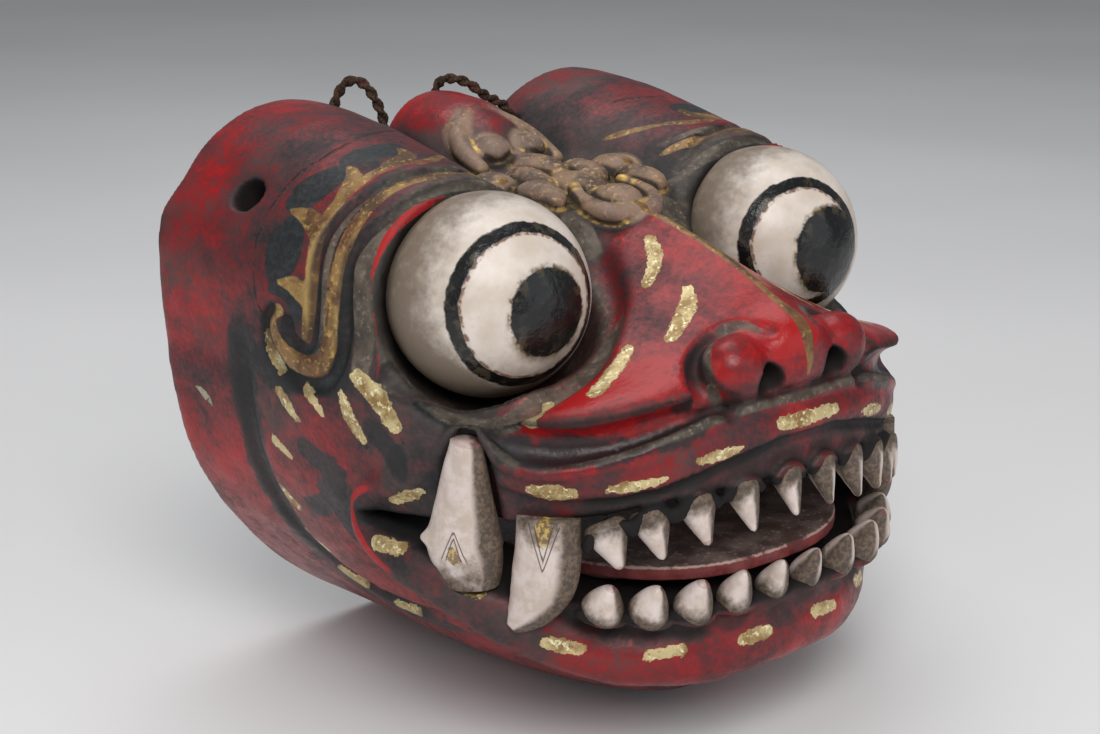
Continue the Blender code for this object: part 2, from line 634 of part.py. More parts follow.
def make_head(into, cutters, material):
    values, origin = sampled_head(GRID)
    points, triangles = field_mesh(values, origin, GRID)
    mesh = bpy.data.meshes.new("head")
    mesh.from_pydata(to_world(points).tolist(), [], triangles.tolist())
    rough = place_object("head_rough", mesh, cutters)
    thin = rough.modifiers.new("thin", "DECIMATE")
    thin.ratio = HEAD_TRIANGLES / len(mesh.polygons)
    carved = evaluated_mesh(rough, "head")
    bpy.data.objects.remove(rough)
    head = place_object("head", carved, into, material)

    added = place_object(
        "carved_eyes_and_teeth",
        joined_mesh("carved_eyes_and_teeth", [eye_mesh("eye", s) for s in (-1, 1)] + teeth_meshes(cutters)),
        cutters,
    )
    big = 1.5 * max(HEAD_WIDTH, HEAD_DEPTH, HEAD_HEIGHT) * MM
    rim = HEAD_DEPTH / 2 * MM
    trims = [
        place_object("trim_back", box_mesh("trim_back", (-big, rim, -big), (big, rim + big, big)), cutters),
        place_object("trim_floor", box_mesh("trim_floor", (-big, -big, -big), (big, big, 0)), cutters),
    ]
    beds = [tongue_mesh("tongue_bed", cutters, CLEARANCE)]
    for side in (-1, 1):
        beds.append(fang_mesh("lower_bed", LOWER_FANG, side, cutters, CLEARANCE + 0.1))
        beds.append(fang_mesh("upper_bed", UPPER_FANG, side, cutters, CLEARANCE + 0.1))
        beds.append(drill_mesh("tie_hole", TIE_HOLE_AT, TIE_HOLE_AXIS, TIE_HOLE, 44, side))
        beds.append(drill_mesh("cord_hole", CORD_HOLE_AT, CORD_HOLE_AXIS, CORD_HOLE, 34, side))
    cut = place_object("beds_and_holes", joined_mesh("beds_and_holes", beds), cutters)
    boolean(head, added, "UNION")
    for trim in trims:
        boolean(head, trim, "DIFFERENCE")
    boolean(head, cut, "DIFFERENCE")
    for ob in [added, cut] + trims:
        hide_cutter(ob)
    smooth_shading(carved)
    return head


def make_fangs(into, cutters, material):
    for word, rows in (("lower", LOWER_FANG), ("upper", UPPER_FANG)):
        for hand, side in (("left", 1), ("right", -1)):
            name = f"fang_{word}_{hand}"
            mesh = fang_mesh(name, rows, side, cutters)
            smooth_shading(mesh)
            place_object(name, mesh, into, material)


def make_tongue(into, cutters, material):
    place_object("tongue_board", tongue_mesh("tongue_board", cutters), into, material)


def make_cords(into, material):
    for hand, route in (("left", CORD_LEFT), ("right", CORD_RIGHT)):
        points = to_world(route)
        curve = bpy.data.curves.new(f"cord_loop_{hand}", "CURVE")
        curve.dimensions = "3D"
        curve.bevel_depth = CORD / 2 * MM
        curve.bevel_resolution = 2
        spline = curve.splines.new("POLY")
        spline.points.add(len(points) - 1)
        for point, co in zip(spline.points, points):
            point.co = (*co, 1)
        spline.use_cyclic_u = True
        curve.materials.append(material)
        into.objects.link(bpy.data.objects.new(f"cord_loop_{hand}", curve))


def main():
    clear_scene()
    parts = collection("dragon_head_mask")
    cutters = collection("cutters")
    lacquer = finish_material("red_lacquer", LACQUER_RED, 0.42)
    board = finish_material("tongue_lacquer", LACQUER_RED, 0.45)
    ivory = finish_material("fang_ivory", IVORY, 0.4)
    fibre = finish_material("dark_cord", CORD_BROWN, 0.9)
    make_head(parts, cutters, lacquer)
    make_tongue(parts, cutters, board)
    make_fangs(parts, cutters, ivory)
    make_cords(parts, fibre)


main()
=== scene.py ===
"""Visual model of the dragon head mask: painted wood, glossy eyes, ivory fangs and twisted cords."""

import math

import bmesh
import bpy
import numpy as np
from mathutils import Matrix, Vector


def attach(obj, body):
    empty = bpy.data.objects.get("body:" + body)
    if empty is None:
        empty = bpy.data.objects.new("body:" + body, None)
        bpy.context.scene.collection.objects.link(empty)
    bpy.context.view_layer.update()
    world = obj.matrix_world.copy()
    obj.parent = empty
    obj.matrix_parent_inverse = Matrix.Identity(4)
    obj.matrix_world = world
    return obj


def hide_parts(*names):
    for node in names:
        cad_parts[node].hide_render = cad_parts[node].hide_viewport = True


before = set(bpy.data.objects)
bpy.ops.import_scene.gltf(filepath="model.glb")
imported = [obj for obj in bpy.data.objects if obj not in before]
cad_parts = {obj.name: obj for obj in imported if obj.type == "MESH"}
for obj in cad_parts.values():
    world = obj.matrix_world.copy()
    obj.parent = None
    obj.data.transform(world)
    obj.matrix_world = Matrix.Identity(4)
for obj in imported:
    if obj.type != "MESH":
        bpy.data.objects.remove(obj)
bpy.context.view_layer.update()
scene = bpy.context.scene
MM = 0.001

# Layout of the carving, as in the part: x sideways from the middle, f forward of the rim, z up, in mm
HEAD_DEPTH = 171.0
WALL = 13.0
TIE_HOLE = 10.5
CORD = 3.6
CORD_HOLE = 5.4
TONGUE_THICK = 4.2
TONGUE_LEVEL = 57.0
TONGUE_EAR = 18.0
TONGUE_BEVEL = 0.7
CARVING_STEP = 1.25
CARVING_TRIANGLES = 185000
HOLLOW_TRIANGLES = 14000

EYE = (55.5, 98.0, 129.7)
EYE_RADIUS = 28.5
TIE_HOLE_AT = (91.0, 33.0, 153.0)
TIE_HOLE_AXIS = (0.80, 0.0, 0.60)
CORD_HOLE_AT = (25.3, 11.0, 151.0)
CORD_HOLE_AXIS = (0.0, 0.0, 1.0)

# Drilled holes as middle, axis, width and reach, how far their shade goes in, and where the raw inside ends
HOLES = [(TIE_HOLE_AT, TIE_HOLE_AXIS, TIE_HOLE, 22), (CORD_HOLE_AT, CORD_HOLE_AXIS, CORD_HOLE, 17)]
HOLE_SHADE = 24
HOLLOW_END = 136

# Half-width of the block, its reach forward of f = 40 and the squareness of its plan, by height
LEVEL = [-8, 0, 5, 10, 20, 33, 44, 54, 72, 95, 104, 112, 120, 135, 150, 165]
HALF_WIDTH = [6, 15, 31, 43, 58, 72, 81, 88, 96, 100.6, 101.3, 102, 102, 101, 95, 80]
REACH = [40, 64, 82, 93, 105, 115, 124, 125, 125, 126, 121, 105, 82, 60, 50, 44]
SQUARE = [2.2, 2.2, 2.3, 2.5, 2.6, 2.6, 2.3, 2.3, 2.35, 2.4, 2.4, 2.4, 2.4, 2.4, 2.4, 2.4]

# Mouth opening: its lower and upper edge, by distance forward of the rim
MOUTH_F = [78, 84, 90, 102, 115, 127, 135, 146, 156, 166, 180]
MOUTH_LOW = [69, 68.5, 67.5, 65.5, 61, 54, 51, 49.5, 49, 49, 49]
MOUTH_TOP = [69.5, 70.5, 71, 72, 73, 75, 76, 78.5, 82, 84, 84]

# Carved rolls and grooves as rows of (x, f, z, radius)
MIDDLE_LOBE = [
    (0, -10, 149, 20), (0, 17, 150, 20), (0, 36, 138, 19),
    (0, 60, 128, 19), (0, 80, 125, 19), (0, 100, 125, 18),
]
UPPER_LIP = [
    (0, 161, 98, 7), (17, 160, 97, 7), (28, 157.5, 95, 7), (38, 153.5, 92, 7),
    (46, 149, 89.5, 7), (54, 143, 87.5, 7), (60.5, 136, 87, 7), (67, 128, 88, 7),
]
LOWER_LIP = [
    (0, 153.5, 35, 11.5), (20, 151.5, 34.5, 11.5), (35, 145, 34, 11), (47, 137, 35.5, 10.5),
    (58, 129, 40, 10), (66.5, 122, 46, 10), (74, 115, 52, 9.2), (80.5, 105.5, 56.5, 8),
    (84, 95, 59.5, 6.8), (85.5, 87, 61.5, 5.5), (86.5, 82, 65, 4.5), (87, 81, 70, 4),
    (87, 84, 75, 4.5), (86, 89, 79, 5), (84.5, 96, 82, 5), (83, 104, 86, 4.5),
]
LIP_FILLET = [
    (0, 164, 105, 2.2), (20, 162.5, 104.5, 2.2), (38, 158.5, 100.5, 2.2), (50, 153, 96, 2.2),
    (62, 144, 92, 2.2), (70, 135.5, 90.5, 2.2), (74, 129, 92, 2.2), (77, 124.5, 96, 2.2),
    (79.5, 120, 100.5, 2.2), (82, 115.5, 99.5, 2.2), (83.5, 111.5, 94, 2.2), (84.5, 105.5, 87.5, 2.2),
]
SHELF_RECESS = [
    (26, 163, 109, 2), (38, 160.5, 105.5, 4), (50, 154.5, 101.5, 5), (60, 147, 99, 5),
    (68, 139, 98, 5), (76, 129, 99, 5), (84, 117, 102, 4), (90, 106, 104, 1),
]
CHIN_CREASE = [
    (0, 156, 22, 3.5), (18, 154.5, 22, 3.5), (33, 149, 22.5, 3.5), (45, 142, 24, 3.5),
    (56, 134, 28, 3.5), (65, 126, 33, 3.5), (72, 118, 38, 3.5), (78, 109, 44, 3), (83, 98, 50, 2),
]
EYE_TROUGH = [
    (88, 96, 111, 4), (84.5, 104, 110, 5), (81.5, 111.5, 107.5, 5.5), (77, 119.5, 106.5, 5.5),
    (71.5, 125.5, 108, 5.5), (64, 129.5, 110.5, 5.5), (52, 129.5, 114.5, 5.5), (41, 125, 119, 5.5),
    (32, 119, 124, 5.5), (25, 111.5, 130, 5.5), (20.5, 103, 136, 5),
]
BROW_GROOVE = [
    (22, 93, 146, 2), (30, 91.5, 150.5, 2), (40, 90, 155.5, 2.2), (54.5, 89, 159.2, 2.4),
    (63.8, 87.5, 159.2, 2.4), (72, 85.5, 156.6, 2.4), (79.4, 83, 151.8, 2.4), (84.6, 79.8, 147, 2.4),
    (88.4, 78.3, 140.5, 2.4), (90.4, 79.2, 133, 2.4), (91.4, 80.3, 124, 2.4), (92.2, 80.1, 117, 2.4),
    (93.2, 78.8, 111.5, 2.4), (94.4, 74.6, 106.4, 2.4), (95.3, 66.4, 104.2, 2.4), (96, 58.4, 105.4, 2.2),
    (96.7, 52.6, 109.6, 2.2), (97.4, 49.9, 115, 2), (97.7, 50.5, 121, 1.8), (97.5, 54, 124.5, 1.6),
]
ARCH_GROOVE = [
    (26, 84, 150, 1.6), (36, 80.5, 155.5, 1.8), (46, 77.8, 160, 2), (55, 76.4, 161.8, 2),
    (66, 74.8, 161, 2), (74.3, 72.2, 158, 2), (81.5, 69.2, 153.4, 2), (87, 68.3, 148.1, 2),
    (90.7, 68.3, 142.5, 2), (92.9, 68.8, 135.8, 2), (94, 69.5, 129, 2), (94.7, 69.5, 120.6, 2),
    (95.3, 67.8, 115.8, 2.2), (96, 63.6, 114.4, 2.4), (96.5, 60.2, 117, 2.6), (96.7, 59.5, 121, 2.4),
]
CHEEK_GROOVE = [
    (99, 37, 112, 2), (98.6, 36.5, 102, 3.2), (96.4, 36, 83, 3.6), (92.6, 37, 67, 3.8),
    (84.2, 41, 49.5, 4), (75, 50, 37, 4), (68, 64, 32, 4), (67.5, 80, 31.5, 4), (69, 96, 33, 3.5),
]
ALAR_GROOVE = [
    (8.5, 160.5, 124, 1.5), (11, 156.5, 126, 2.4), (15.5, 153, 125.5, 3), (21, 151.5, 122.8, 3.2),
    (27, 152.5, 118.8, 3.4), (31.5, 156.5, 114.2, 3.6), (32, 161, 109.5, 3.6), (26, 163, 106, 3.4),
]
FANG_BED = [
    (78, 118, 61, 7), (78.5, 118.5, 70, 8.5), (80, 118.5, 80, 8.5), (81, 119, 90, 7), (81, 119.5, 98, 3.5),
]
NOSTRIL = [(12.5, 168, 110, 4.4), (13, 160, 113, 4), (14, 153, 116, 2.6)]

# Crest ornament on the forehead: an arched leaf, knobs, petals and a cup in front
ARCH_LEAF = [(0, 23.5, 163.5, 3), (6, 25, 163, 3), (11, 29, 161, 3), (14.5, 36, 156.5, 3), (15, 45, 152, 2.6)]
CUP_RIM = [(0, 100, 145, 3), (7, 98, 145.5, 3), (11.5, 93, 147, 3), (12, 87, 149, 2.6), (9.5, 82, 151, 2.2)]
KNOBS = [
    ((7, 40, 156.5), (5.5, 7, 4)), ((0, 54, 152.5), (6.5, 12, 4)), ((11, 63, 149.5), (6, 10, 5.5)),
    ((0, 72, 149), (8, 11, 4.5)), ((24, 62, 150), (7, 8, 5)), ((20, 79, 149.5), (5.5, 10, 4.5)),
    ((0, 90, 147.5), (7.5, 8, 5)),
]

# Small teeth as root, tip and width: the pairs stand at these places from the middle outward
TEETH_X = [6.9, 21.2, 34.5, 46.0, 55.5]
UPPER_ROOT = [(164, 88), (161, 86.5), (157, 84), (151.5, 81), (144.5, 77.5)]
UPPER_TIP = [(170.43, 73.6), (168.3, 71.8), (164.2, 70), (158.8, 67.4), (152.6, 65.2)]
UPPER_WIDTH = [8.1, 8.9, 9.8, 9.8, 11]
LOWER_ROOT = [(160, 47), (159.5, 47), (157, 47), (151.5, 47.5), (144, 48.5)]
LOWER_TIP = [(166.5, 59), (165.5, 59.5), (163, 59.5), (157.5, 59), (149, 59)]
LOWER_WIDTH = [8.1, 8.9, 9.8, 10.2, 10.6]

# Fangs as rows of (x, f, z, radius) from the root to the tip
LOWER_FANG = [
    (77.6, 116.8, 56, 8), (78, 116.6, 62, 9.6), (78.6, 115.6, 67.5, 10.8), (79.3, 116.3, 74, 9.6),
    (80.2, 117.4, 82, 7.8), (81.3, 118.8, 90, 6.2), (82, 120, 98, 4.4),
]
UPPER_FANG = [
    (66, 135.6, 78, 8.8), (66.4, 135.8, 68, 9.2), (67.4, 135.1, 60, 9.1), (69.8, 133.4, 53.5, 7.3),
    (72.8, 131.5, 48.8, 4.6), (75.4, 130.1, 46, 1.6),
]
FANG_FLATNESS = 0.66
FANG_FACES = (0.86, 0.51, 0.0)
BARB_LEVEL = 69.0
BARB_SIZE = 1.8

# The V cut in each fang: its middle across the face, the heights of its open end and tip, its half-width
FANG_MARKS = {"lower": (58.6, 65.0, 73.4, 3.6), "upper": (83.4, 77.0, 64.4, 4.2)}

# Routes of the two cord loops: up out of the hole, over the rim, down behind it and back through the wall
CORD_LEFT = [
    (25.3, 11, 151), (25.3, 11, 158), (24.9, 10.9, 161.4), (22.9, 10.5, 164.2), (19.9, 10, 166),
    (16.7, 9.6, 167.6), (13.6, 8.8, 169.8), (11.5, 7, 171.8), (9, 4.6, 173.2), (6.8, 1.8, 173.4),
    (5.7, -1.4, 172), (5.5, -3.3, 168.4), (6, -4, 163), (8.2, -4.1, 156), (11.8, -4, 149),
    (15.3, -2.6, 143.2), (18.4, 1, 139.4), (21.3, 5.6, 138.2), (24, 9.6, 139.2), (25.2, 10.9, 143.4),
]
CORD_RIGHT = [
    (-25.3, 11, 151), (-25.3, 11, 157.5), (-26, 11, 163), (-26.6, 10.5, 166.6), (-27.8, 9, 170.8),
    (-29, 6.2, 174.6), (-30.4, 3.2, 176.2), (-32, 0.2, 175.6), (-33.4, -2, 172.8), (-34.6, -3.4, 168.2),
    (-35, -4.1, 161), (-34.2, -4, 153), (-32.8, -2.8, 146.2), (-31, 0.4, 141), (-28.4, 5, 138.8),
    (-26.2, 9.4, 139.4), (-25.4, 10.9, 143.4),
]

# The small teeth together, as (jaw, x, root, tip, width), and the gum that laps over their roots
TEETH = [("upper",) + row for row in zip(TEETH_X, UPPER_ROOT, UPPER_TIP, UPPER_WIDTH)]
TEETH += [("lower",) + row for row in zip(TEETH_X, LOWER_ROOT, LOWER_TIP, LOWER_WIDTH)]
GUM_RIM = 1.8

# A tooth's form: share of the way to the tip, and half-width as a share of the width
TOOTH_PROFILE = {
    "upper": [(0.1, 0.46), (0.2, 0.55), (0.36, 0.51), (0.6, 0.37), (0.82, 0.22), (0.96, 0.12), (1, 0.03)],
    "lower": [(0.08, 0.44), (0.2, 0.55), (0.38, 0.54), (0.62, 0.42), (0.84, 0.26), (0.96, 0.13), (1, 0.03)],
}

# The groove that parts the upper lip into a band and a gum
LIP_GROOVE = [
    (0, 167.5, 94.6, 1.1), (12, 166.6, 94.2, 1.1), (30, 162.8, 90.2, 1.2), (44, 156.2, 85.8, 1.2),
    (52, 151.4, 84, 1.2), (63, 143, 82, 1.2), (70.5, 134.8, 82.4, 1.2), (75, 127, 84.5, 1.0),
]

# Camera at the photograph's angle
CAMERA_TARGET = (0.0, 0.0255, 0.090)
CAMERA_DISTANCE = 0.610
CAMERA_AZIMUTH = -40.96
CAMERA_ELEVATION = 16.17
CAMERA_LENS = 63.82

# Painted shapes as rolls of (x, f, z, half-width), on both sides of the head
GOLD_SHAPES = [
    [(24.7, 67.7, 153.4, 1.6), (42.9, 76.5, 158.2, 1.9), (59, 80.8, 160.8, 2.1), (66.7, 78.6, 159.8, 2.2),
     (74.4, 76.5, 156.7, 2.2), (81.1, 75.8, 151.7, 2.2), (86.4, 75.2, 145.7, 2.2), (89.9, 75.2, 138.6, 2.2),
     (92, 75.6, 129.9, 2.2), (92.9, 75.5, 121.6, 2.3), (93.4, 75.2, 116.2, 2.6), (94.4, 72.6, 111.6, 3.3),
     (95.3, 67.6, 109.4, 3.6), (96.2, 60.8, 110.4, 3), (96.8, 56, 113.9, 2.2), (97.1, 53.9, 118.3, 1.6),
     (97.2, 54.2, 122.2, 1.4), (96.9, 56.6, 124.2, 1.9)],
    [(20, 40, 155.5, 1.2), (51.1, 68.6, 162.5, 1.5), (60.7, 68.7, 162.8, 1.6), (69.6, 66.8, 161, 1.7),
     (77.2, 65.9, 157.2, 1.8), (83.7, 65, 152.1, 1.8), (88.8, 65.6, 146.2, 1.8), (91.4, 66.4, 138.3, 2),
     (93.4, 67.1, 128.6, 2), (94.4, 66.9, 121, 1.8), (94.9, 66.4, 116.6, 1.5)],
    [(55.8, 60.1, 164.8, 1.6), (57.5, 65, 163.8, 2.6), (65.6, 66.5, 162.3, 2)],
    [(72.6, 57.9, 161.2, 0.9), (74.6, 62.6, 159.9, 2.4), (80.2, 65, 155.6, 2.2)],
    [(88.6, 52.6, 150.5, 0.8), (87.6, 58.6, 149.8, 2.6), (88.2, 64.2, 147.2, 3.2)],
    [(96.6, 57, 132.2, 0.8), (95.4, 62, 132, 2.6), (94.2, 65.6, 129.4, 2.8)],
    [(0, 99, 147.5, 1.6), (0, 104.9, 146.3, 1.5), (0, 120.3, 143, 1.4), (0, 138.1, 137.4, 1.5),
     (0, 151, 132.5, 1.7), (0, 159.6, 127.8, 2), (0, 164.9, 123.7, 2.2), (0, 167, 118.5, 1.7),
     (0, 166.5, 111.6, 0.6)],
]
LEAF_SHAPES = [
    [(95.5, 49.4, 115.5, 1.5), (94.9, 51.4, 110.4, 2.3), (94.6, 54.3, 106.2, 1.6)],
    [(95.9, 53.5, 99.6, 1.5), (95.4, 57, 95.9, 2.2), (94.7, 61, 92.7, 1.2)],
    [(93.8, 64.4, 102.9, 1.4), (94.8, 69.4, 100.1, 1.9), (94.3, 72.5, 96.7, 1.3)],
    [(93.2, 80.7, 104.5, 1.5), (92.8, 83.4, 98.6, 2.2), (91.3, 87.3, 92.8, 1.8)],
    [(91.6, 85.8, 110.4, 2.4), (90.2, 93.3, 105.5, 2.9), (89.4, 99, 98.9, 2.4)],
    [(93.6, 46.5, 83.1, 1.9), (92.8, 52.8, 79.5, 1.5)],
    [(89, 42.2, 65.7, 1.6), (87.1, 47, 61.4, 1.7)],
    [(80.8, 43.1, 50.6, 1.7), (78.8, 50, 46.4, 1.5)],
    [(71.4, 46.9, 36.9, 1.9), (68.1, 53, 33.5, 2)],
    [(64, 64, 29.1, 1.6), (63.3, 73.5, 29.5, 1.8)],
    [(87.1, 95.4, 76.2, 1.6), (85.9, 101, 79.2, 2), (85.3, 105.3, 81.5, 1.2)],
    [(89.9, 91, 63.3, 2.4), (87.2, 99, 62.8, 2.4)],
    [(81.6, 113.1, 56.8, 2.4), (77.3, 120.7, 53.3, 2.5)],
    [(71.5, 134.1, 86.2, 1.4), (67.8, 138.7, 85.6, 2.5), (63.9, 143.2, 85.6, 1.2)],
    [(57.3, 149.8, 87.1, 0.9), (52, 153.8, 87.8, 1.8), (44.4, 158.4, 89.6, 0.9)],
    [(36.5, 162.2, 93.3, 0.9), (30, 164.4, 94.4, 1.9), (24.1, 166, 95.6, 0.9)],
    [(11, 167.2, 99.4, 1.8), (4, 167.7, 99.6, 2), (0, 167.8, 99.6, 2.2)],
    [(66.4, 134.8, 41.2, 1.8), (59.5, 140.6, 39.1, 1.9)],
    [(44.3, 151.7, 36.7, 1.6), (36.5, 156.1, 37.8, 1.8)],
    [(18.9, 162.6, 37.6, 1.7), (9.9, 163.8, 38.4, 2)],
    [(7.5, 111.4, 140.6, 1.5), (10.5, 117.4, 137, 2.4), (18, 122.1, 131.2, 1.6)],
    [(13.6, 133.5, 131.2, 1.6), (18.6, 138.4, 127.2, 2.6), (28, 141.6, 121.6, 1.8)],
    [(37.3, 135.3, 118.6, 1.6), (47, 138.6, 114.1, 2.3), (55, 140.8, 111.1, 2)],
    [(60.2, 128.9, 106.4, 1.6), (65.4, 133, 106.2, 2.4), (70.6, 133.6, 104.2, 2.2)],
]
BLACK_SHAPES = [
    [(56.6, 57.8, 165.1, 3.2), (61, 57.8, 165, 4.6), (66, 57.2, 164.3, 4.8), (70.4, 55.6, 163.3, 3.4)],
    [(76, 57.4, 159.9, 3.6), (80, 55.6, 157.6, 5.4), (83.8, 53.6, 155, 5.6), (86.6, 51.8, 152.8, 3.6)],
    [(91, 56.2, 147, 3.8), (93.4, 56.8, 143, 5.8), (95.2, 56.2, 139, 6.2), (96.4, 55.4, 135.4, 4.2)],
    [(97.3, 54.5, 129.8, 1.6), (96.6, 58.6, 130, 2.4), (95.9, 62, 127.4, 2.4), (95.7, 63.6, 123.2, 1.8)],
    [(96.9, 57.6, 119.6, 1.5), (96.3, 59.6, 116.6, 1.6), (95.4, 62.4, 114.8, 1.5), (94.6, 67, 114.4, 1.7),
     (94.2, 71.2, 116.4, 1.4), (94, 71, 122, 1)],
    [(96.9, 50.6, 114.5, 0.8), (96.7, 54.1, 110.4, 1.4), (96, 60.4, 105.6, 2.2), (95, 69, 104.4, 2.6),
     (93.2, 76.6, 107.6, 2.2), (91.7, 79.6, 114.7, 1.6)],
    [(84, 104, 106, 2.5), (80.5, 112.5, 101.5, 2.4), (78.1, 119.2, 99.3, 2.2)],
    [(84.5, 99, 114, 3), (88.5, 91.2, 128, 0.8), (88.2, 89.6, 136, 0.8), (84, 89.6, 146, 0.8),
     (73, 90.2, 154.2, 0.8), (58, 90.6, 156.6, 0.8), (40, 90, 153.6, 0.9), (26, 92.5, 146, 1.2)],
    [(94, 70.2, 118, 0.9), (93.6, 70.4, 128, 1), (91.7, 70, 139.3, 1), (87.8, 69.6, 146.9, 0.9),
     (81.2, 70, 153.9, 0.9), (72.5, 71, 158.1, 0.8), (64.1, 72, 160.2, 0.7)],
    [(93.2, 79.4, 113, 1.6), (92.2, 80, 121.6, 1.5), (91.2, 79.4, 131.6, 1.3), (89.2, 79, 139.6, 1.2),
     (84.9, 80, 147, 1.2), (78.5, 82.2, 153.3, 1.1), (68.7, 85.2, 157.8, 1), (55, 87.2, 159.2, 0.9)],
]
SOOT_SHAPES = [
    [(98.6, 37, 112, 5.6), (97.4, 36.4, 102, 6.2), (95.2, 35.9, 90.8, 5.8), (93, 35.5, 80.3, 5.4),
     (90.1, 36, 65.7, 5.2), (82.3, 38.7, 48.5, 5.2), (73, 45, 34.9, 5.2), (66, 60, 27.9, 4.8),
     (64, 84, 27, 4), (64, 106, 28, 4.5)],
    [(90.4, 74.6, 79.6, 3.6), (88.6, 71.2, 67.6, 4), (84.6, 75, 56.6, 3.6), (79.8, 83.6, 48.4, 3.4),
     (75.6, 92, 42.6, 3.4), (71.6, 103, 37.4, 3.4), (64, 117, 31, 3.6)],
    [(90.8, 72.9, 77.1, 4.6), (88.4, 65.4, 68.7, 4.4), (88, 57, 64.3, 3.2)],
    [(93.4, 62, 84.1, 3.4), (91.8, 71.8, 80.5, 4.2)],
    [(92, 64, 72, 3), (90, 70, 64, 3.4)],
    [(97.6, 38, 108, 5), (96.4, 50, 105, 5.2), (95.4, 60, 105, 4.6), (94.4, 70, 106, 4.4),
     (93, 80, 109, 3.6)],
    [(91, 92, 96, 3.4), (88, 97, 91, 4.2), (86.4, 100, 86, 3.6)],
    [(85, 79, 56, 3), (82, 86, 51, 4), (78, 94, 46, 3.4)],
    [(76, 108, 43, 3), (71, 115, 38, 3.6)],
    [(74, 128.6, 96.6, 4), (66, 138.6, 96.2, 4.6), (56, 147.6, 97, 4.4), (46, 154.6, 98.4, 3.4),
     (36.6, 159.6, 101.6, 3)],
    [(62, 144.2, 100.2, 2.5), (61, 145, 100.2, 2.5)],
    [(48.4, 153, 103, 2.6), (47.4, 153.6, 103.2, 2.6)],
    [(39.4, 157, 106.4, 2.8), (37.4, 157.6, 107.4, 2.8)],
]
GREY_SHAPES = [
    [(26.2, 63.5, 155, 1.4), (42.5, 72.6, 159.6, 1.4), (58.2, 75.6, 161.6, 1.4), (65, 74, 160.2, 1.4),
     (73.5, 72.6, 156.9, 1.5), (81.2, 72.3, 152.5, 1.5), (86.4, 71.8, 147.3, 1.5), (90.4, 72.2, 139.2, 1.5),
     (92.7, 72.6, 129.7, 1.5), (93.5, 72.7, 121.3, 1.3), (93.9, 72.2, 118, 0.8)],
    [(24, 84, 148, 2.2), (38, 86.4, 155.4, 2.6), (54.4, 88.2, 158, 2.4), (64.6, 88, 157.4, 2.8),
     (74, 86.2, 154.6, 3), (82.3, 84.7, 149.3, 3.2), (87, 83.8, 143, 3.4), (89.8, 84.6, 134.9, 3.6),
     (90.9, 86, 127.3, 3.6), (91.2, 87.4, 119.7, 3.6), (91.2, 86.6, 112.5, 3)],
    [(88.6, 93.6, 108.6, 1.6), (84.6, 102.2, 108.4, 2.6), (81.3, 110, 105, 3.2), (77.4, 118.1, 102.9, 3.2),
     (73, 124.8, 103.8, 4.2), (64.9, 128.6, 107, 4.6), (53, 130.4, 112, 4.6), (42, 127, 117, 5),
     (33, 121, 122.6, 5), (26, 113.6, 129.6, 5), (20.5, 104, 136, 4.6), (18, 92, 143, 5)],
    [(26.6, 158.2, 105.5, 1.6), (29.4, 158.8, 111.9, 1.8), (28.6, 155.8, 117.9, 2), (24.6, 152.6, 121.4, 2),
     (17.1, 150.6, 123.6, 1.9), (11.6, 153.6, 124.8, 1.5), (10.4, 158, 123.4, 0.9)],
    [(0, 166.3, 105.6, 1.5), (13.3, 165.6, 105.6, 1.6), (21.7, 163.8, 105.4, 1.7), (32, 161.2, 103.4, 1.6),
     (42, 158, 100.2, 1.2), (55, 150.4, 95.6, 1.2), (66, 140.4, 91.6, 1.3), (72.2, 132.6, 91, 1.6),
     (75.6, 126.8, 94.8, 1.5), (78.4, 121.6, 99.6, 1.4)],
]
RED_SHAPES = [
    [(90.6, 88, 60, 1.2), (88.4, 95, 58.4, 2.2), (85.6, 102, 56.4, 2.8), (82, 109, 52.8, 2.6),
     (77, 117, 49.4, 2), (70, 125, 46.6, 1.4)],
    [(84.9, 103, 85.4, 0.7), (86.9, 97.6, 82, 0.9), (89.6, 90, 79.4, 1.2), (91, 83.6, 76.6, 1.3),
     (91.2, 79.6, 71.6, 1.3), (91, 81.4, 66, 1.4), (90.4, 86.8, 60.8, 1.8), (88.3, 96.2, 57.6, 2.4),
     (85.2, 105.4, 57, 2.8), (81.6, 112.6, 54.2, 2), (78.2, 117.9, 49.8, 1), (73.6, 123.6, 43.4, 0.6)],
    [(88.9, 91.6, 110.4, 0.4), (88.2, 91.2, 117, 0.3), (87.6, 89.4, 124.5, 0.2), (88.2, 88.2, 133.3, 0.3),
     (86.6, 87.6, 140, 0.7), (82.6, 87.8, 147, 1.2), (76.2, 88.4, 152.4, 1.4), (66, 89.4, 156.2, 1),
     (56, 90, 157.4, 0.4)],
    [(46.6, 70.2, 161.8, 0.4), (58.6, 70.2, 163, 0.5), (66.1, 69.4, 162, 0.5), (73.5, 68.2, 159.4, 0.5),
     (80.1, 67.4, 155, 0.4)],
]
